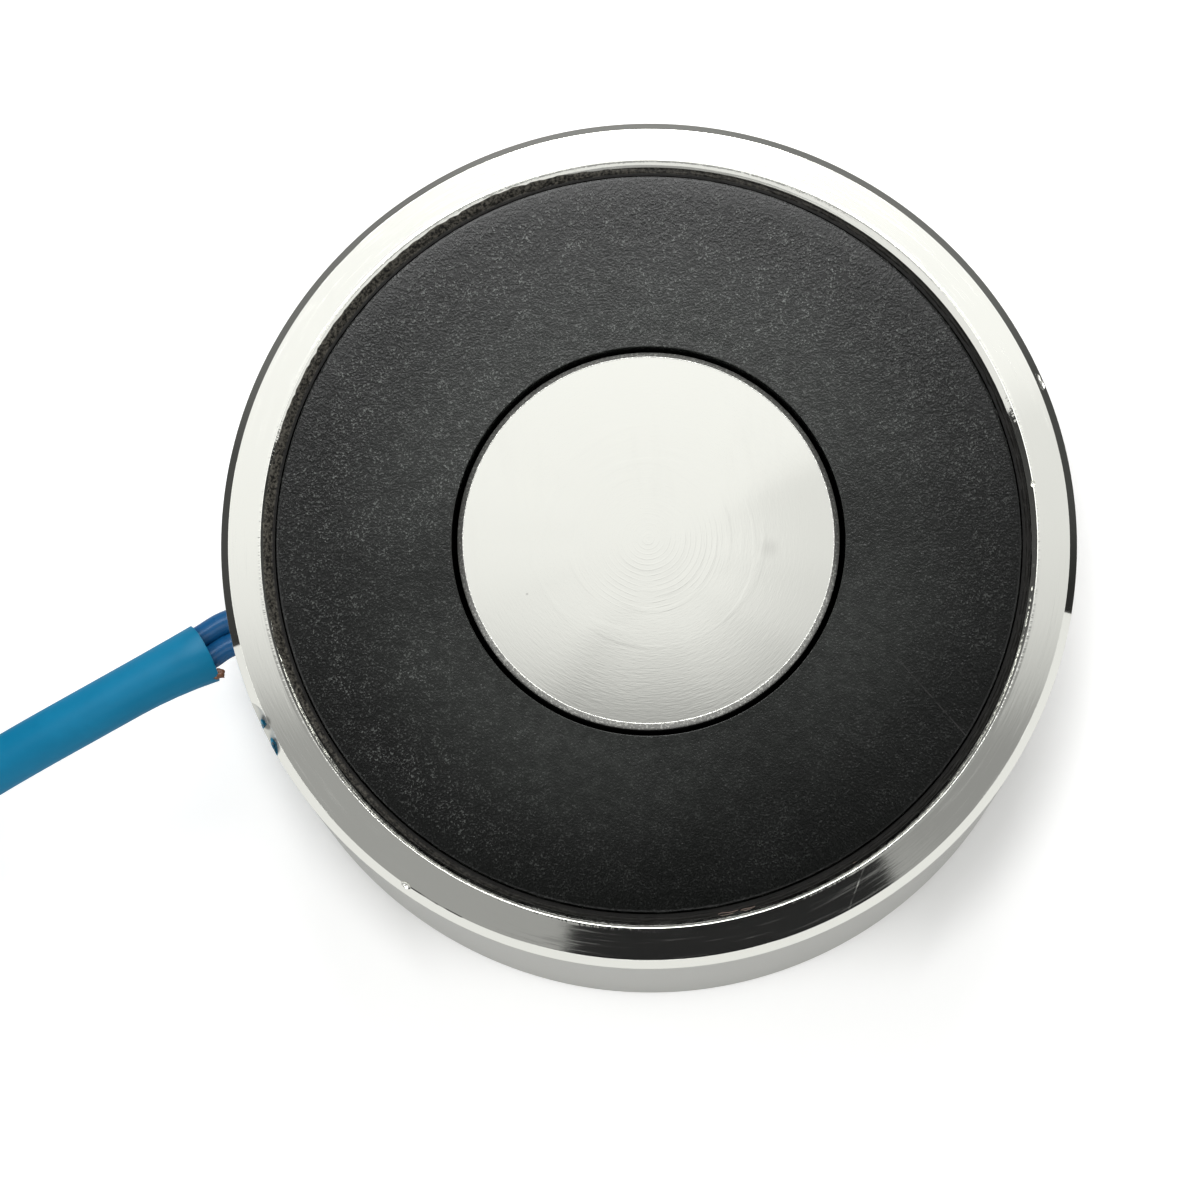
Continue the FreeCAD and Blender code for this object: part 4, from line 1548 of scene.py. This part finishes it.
    def tie_band(self) -> BMesh:
        """Band of the tie, round the section of the coil, in the plane of X and Z.

        Returns:
            The band.
        """
        bm = bmesh.new()
        inside = self.sleeve_radius + self.tie_clear
        start = bm.verts.new((self.coil_end_radius * MM, -self.tie_width / 2 * MM,
                              (self.coil_height - inside) * MM))
        before = start
        for centre in (self.coil_end_radius, self.coil_radius):
            made = spin(bm, [before], math.pi, 16, cent=(centre * MM, 0.0, self.coil_height * MM),
                        axis=(0.0, 1.0, 0.0))
            last = next(item for item in made["geom_last"] if isinstance(item, BMVert))
            if before is start:
                before = bm.verts.new((self.coil_radius * MM, last.co.y, last.co.z))
                bm.edges.new((last, before))
            else:
                bm.edges.new((last, start))
        sides = bmesh.ops.extrude_edge_only(bm, edges=bm.edges[:])
        across = [item for item in sides["geom"] if isinstance(item, BMVert)]
        bmesh.ops.translate(bm, vec=(0.0, self.tie_width * MM, 0.0), verts=across)
        face_out(bm)
        bmesh.ops.solidify(bm, geom=bm.faces[:], thickness=-(self.tie_thickness - 2 * self.tie_clear) * MM)
        face_out(bm)
        return bm


# Studio


@dataclass
class Studio:
    """Floor, soft light, dark cards and the camera, laid out along the camera's own right and up. Metres."""

    turn_degrees: float = -7.5
    camera_at: Point = (-0.0051017, -0.0555215, 0.3765434)
    camera_degrees: Point = (8.38353, 0.95238, -7.40506)
    lens: float = 138.9
    sensor: float = 36.0
    near_clip: float = 0.01
    sky: float = 0.35
    dim_sky: float = 0.5
    floor_size: float = 4.0
    floor_colour: Colour = (0.97, 0.97, 0.965)
    # Painted shade of the floor where the steel mirrors it, and painted light that the floor gives the camera.
    mirrored_floor_shade: Colour = (0.63, 0.63, 0.625)
    painted_floor_light: float = 0.3
    shade_middle: Point = (0.0016, -0.0002, 0.0)
    shade_reach: Span = (0.0322, 0.038)
    shade_front: Span = (0.023, 0.033)
    overhead_at: Point = (0.0, 0.33, 0.6)
    overhead_strength: float = 2.0
    overhead_size: Span = (0.34, 0.6)
    overhead_stops: tuple[Span, ...] = (
        (-0.30, 0.175), (-0.279, 0.18), (-0.272, 0.24), (-0.267, 0.32), (-0.254, 0.43), (-0.238, 0.475),
        (-0.204, 0.508), (-0.18, 0.528), (-0.165, 0.56), (-0.13, 0.8), (-0.05, 1.0), (0.30, 1.0))
    corner_dim: float = 0.16
    corner_slant: float = -0.3
    corner_across: Span = (0.005, 0.03)
    corner_along: Span = (-0.238, -0.222)
    key_at: Point = (-0.05, 0.29, 0.59)
    key_strength: float = 8.0
    key_size: Span = (0.3, 0.23)
    key_stops: tuple[Span, ...] = ((-0.1, 1.0), (0.1, 1.0))
    lens_card_at: Point = (0.0115, -0.018, 0.3765)
    lens_card_size: Span = (0.0275, 0.041)
    card_colour: Colour = (0.024, 0.024, 0.025)
    far_arc: tuple[float, float, float, float] = (0.1, 0.06, -10.0, 192.5)
    far_strength: float = 0.3
    far_stops: tuple[Span, ...] = (
        (-0.04, 0.07), (-0.0105, 0.09), (0.0105, 0.2), (0.0407, 0.24), (0.0588, 0.5), (0.0809, 0.66),
        (0.0914, 0.7), (0.1, 0.97))
    far_spin_degrees: float = 6.0
    near_arc: tuple[float, float, float, float] = (0.45, 0.16, 184.0, 178.0)
    near_strength: float = 0.86
    near_stops: tuple[Span, ...] = ((-0.5, 1.0), (0.0, 1.0))
    lamp_size: float = 0.4
    lamp_aim: Point = (0.0, 0.0, 0.02)
    lamps_at: tuple[tuple[str, Point, float], ...] = (
        ("far_lamp", (0.0, 0.65, 0.55), 3.2), ("near_lamp", (0.0, -0.4, 0.7), 0.8),
        ("left_lamp", (-0.45, 0.0, 0.72), 0.9), ("right_lamp", (0.45, 0.0, 0.72), 0.6))

    def build(self) -> None:
        """Set up the camera, the surroundings and the light."""
        self.camera()
        self.surroundings()
        self.floor()
        self.overhead()
        self.cards()
        self.lamps()
        bpy.context.scene.view_settings.view_transform = "Standard"

    def place(self, piece: Object, at: Point, aim: Point | None = None, spin_degrees: float = 0.0) -> None:
        """Put a stage object or lamp at a place along the camera's right and up.

        Args:
            piece: what to place.
            at: where its origin goes.
            aim: point that its underside faces, or none to leave it level.
            spin_degrees: turn about its own Z.
        """
        turn = Matrix.Rotation(math.radians(self.turn_degrees), 4, "Z")
        move = Matrix.Translation(Vector(at)) @ Matrix.Rotation(math.radians(spin_degrees), 4, "Z")
        if aim is not None:
            move = move @ (Vector(aim) - Vector(at)).to_track_quat("-Z", "Y").to_matrix().to_4x4()
        piece.matrix_world = turn @ move

    def camera(self) -> None:
        """Camera at the photograph's viewing angle."""
        data = bpy.data.cameras.new("camera")
        data.lens = self.lens
        data.sensor_width = self.sensor
        data.clip_start = self.near_clip
        camera = bpy.data.objects.new("camera", data)
        camera.location = self.camera_at
        camera.rotation_euler = [math.radians(angle) for angle in self.camera_degrees]
        bpy.context.scene.collection.objects.link(camera)
        bpy.context.scene.camera = camera

    def surroundings(self) -> None:
        """Even grey room, white to the camera itself and dim to the floor."""
        world = bpy.data.worlds.new("studio")
        world.use_nodes = True
        sheet = NodeSheet(world.node_tree)
        background = world.node_tree.nodes["Background"]
        sheet.feed(background.inputs["Color"], WHITE)
        path = sheet.add("LightPath").outputs
        seen = sheet.times_add(path["Is Camera Ray"], 1.0 - self.dim_sky, self.dim_sky)
        mirrored = sheet.times_add(path["Is Glossy Ray"], self.sky - self.dim_sky, seen)
        sheet.feed(background.inputs["Strength"], mirrored)
        bpy.context.scene.world = world

    @staticmethod
    def stage(name: str, bm: BMesh, shader: Material, mirrored_only: bool = True) -> Object:
        """Turn a shape into a stage piece.

        Args:
            name: name of the piece.
            bm: its shape, which is freed.
            shader: its material.
            mirrored_only: whether it shows in glossy surfaces and nowhere else.

        Returns:
            The piece.
        """
        piece = finish_mesh(name, bm, shader, 30.0)
        if mirrored_only:
            piece.visible_camera = piece.visible_diffuse = piece.visible_shadow = False
        return piece

    @staticmethod
    def flat(width: float, depth: float) -> BMesh:
        """Flat shape with its middle at the origin.

        Args:
            width: its width.
            depth: its depth.

        Returns:
            The shape.
        """
        bm = bmesh.new()
        bmesh.ops.create_grid(bm, x_segments=1, y_segments=1, size=0.5)
        bmesh.ops.scale(bm, vec=(width, depth, 1.0), verts=bm.verts[:])
        return bm

    def floor(self) -> None:
        """Pale floor, which glows for the camera away from the part as painted light, and is darker where the
        steel mirrors it as painted shade.
        """
        material, sheet, shader = Finish("pale_floor", self.floor_colour, 0.9, specular=0.0).start()
        path = sheet.add("LightPath").outputs
        # Painted shade: the floor is darker in glossy rays, standing in for the shade beside the wall that the
        # steel mirrors.
        sheet.feed(shader.inputs["Base Color"],
                   sheet.blend(path["Is Glossy Ray"], self.floor_colour, self.mirrored_floor_shade))
        sheet.feed(shader.inputs["Emission Color"], WHITE)
        where = sheet.place()
        away = sheet.span(sheet.vector("DISTANCE", where, self.shade_middle), *self.shade_reach)
        turn = math.radians(self.turn_degrees)
        down = sheet.vector("DOT_PRODUCT", where, (math.sin(turn), -math.cos(turn), 0.0))
        # Painted light: the floor glows for camera rays away from the part and in front of it, so that shadows
        # show only close to the part.
        painted_light_share = sheet.maths("MAXIMUM", away, sheet.span(down, *self.shade_front))
        sheet.feed(shader.inputs["Emission Strength"],
                   sheet.times(painted_light_share, self.painted_floor_light, path["Is Camera Ray"]))
        self.stage("floor", self.flat(self.floor_size, self.floor_size), material, False)

    def glow(self, name: str, strength: float, stops: Sequence[Span], corner: float = 0.0) -> Material:
        """Glowing material whose strength follows stops along the piece's own Y, in metres.

        Args:
            name: name of the material.
            strength: strength that a stop of 1 stands for.
            stops: pairs of a place along Y and a share of the strength, in order.
            corner: share by which the lower right of an overhead light is dimmed.

        Returns:
            The material.
        """
        material = bpy.data.materials.new(name)
        material.use_nodes = True
        nodes = material.node_tree.nodes
        sheet = NodeSheet(material.node_tree)
        nodes.remove(nodes["Principled BSDF"])
        across, along, _ = sheet.add("SeparateXYZ", Vector=sheet.place()).outputs
        low, high = stops[0][0], stops[-1][0]
        share = sheet.add("MapRange", Value=along, From_Min=low, From_Max=high).outputs[0]
        ramp = sheet.add("ValToRGB", Fac=share)
        elements = ramp.color_ramp.elements
        while len(elements) < len(stops):
            elements.new(0.5)
        for element, (place, value) in zip(elements, stops):
            element.position = (place - low) / (high - low)
            element.color = (value, value, value, 1.0)
        light = sheet.add("Emission", Color=ramp.outputs["Color"], Strength=strength)
        if corner:
            slanted = sheet.times_add(across, self.corner_slant, along)
            dimmed = sheet.times(sheet.span(across, *self.corner_across),
                                 sheet.span(slanted, *self.corner_along, corner, 0.0))
            sheet.feed(light.inputs["Strength"], sheet.times_add(dimmed, -strength, strength))
        sheet.feed(nodes["Material Output"].inputs["Surface"], light.outputs[0])
        return material

    def overhead(self) -> None:
        """Soft light over the far side, which fades towards the camera."""
        overhead_glow = self.glow("overhead_glow", self.overhead_strength, self.overhead_stops, self.corner_dim)
        overhead = self.stage("overhead_light", self.flat(*self.overhead_size), overhead_glow)
        self.place(overhead, self.overhead_at)
        key_glow = self.glow("key_glow", self.key_strength, self.key_stops)
        self.place(self.stage("key_light", self.flat(*self.key_size), key_glow), self.key_at)

    @staticmethod
    def arc(radius: float, high: float, start_degrees: float, sweep_degrees: float) -> BMesh:
        """Upright band bent round the part, from the floor up.

        Args:
            radius: distance from the part's axis.
            high: height of its upper edge.
            start_degrees: where it starts round the axis.
            sweep_degrees: how far round it goes.

        Returns:
            The band.
        """
        bm = bmesh.new()
        start = math.radians(start_degrees)
        foot = (radius * math.cos(start), radius * math.sin(start))
        ends = [bm.verts.new((*foot, height)) for height in (0.0, high)]
        spin(bm, [*ends, bm.edges.new(ends)], math.radians(sweep_degrees), 40)
        return bm

    def cards(self) -> None:
        """Black card by the lens, dim band round the far side and bright band in front, seen in mirrors."""
        bm = bmesh.new()
        bmesh.ops.create_circle(bm, cap_ends=True, segments=48, radius=1.0)
        bmesh.ops.scale(bm, vec=(*self.lens_card_size, 1.0), verts=bm.verts[:])
        black = Finish("black_card", self.card_colour, 0.9, specular=0.0).material()
        self.place(self.stage("lens_card", bm, black), self.lens_card_at)
        far_glow = self.glow("far_glow", self.far_strength, self.far_stops)
        far_card = self.stage("far_card", self.arc(*self.far_arc), far_glow)
        self.place(far_card, (0.0, 0.0, 0.0), spin_degrees=self.far_spin_degrees)
        near_glow = self.glow("near_glow", self.near_strength, self.near_stops)
        self.place(self.stage("near_card", self.arc(*self.near_arc), near_glow), (0.0, 0.0, 0.0))

    def lamps(self) -> None:
        """Large soft lamps out of sight of the holding face."""
        for name, at, watts in self.lamps_at:
            data = bpy.data.lights.new(name, "AREA")
            data.shape = "SQUARE"
            data.size = self.lamp_size
            data.energy = watts
            lamp = bpy.data.objects.new(name, data)
            bpy.context.scene.collection.objects.link(lamp)
            self.place(lamp, at, self.lamp_aim)


def main() -> None:
    """Build every sub-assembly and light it."""
    logging.basicConfig(level=logging.INFO, format="%(name)s: %(message)s")
    finishes = Finishes()
    for part in (SteelBody(finishes), PottedCoil(finishes), LeadSet(finishes)):
        for piece in part.build():
            log.info("%s: %d faces", piece.name, len(piece.data.polygons))
    Studio().build()


if __name__ == "__main__":
    main()
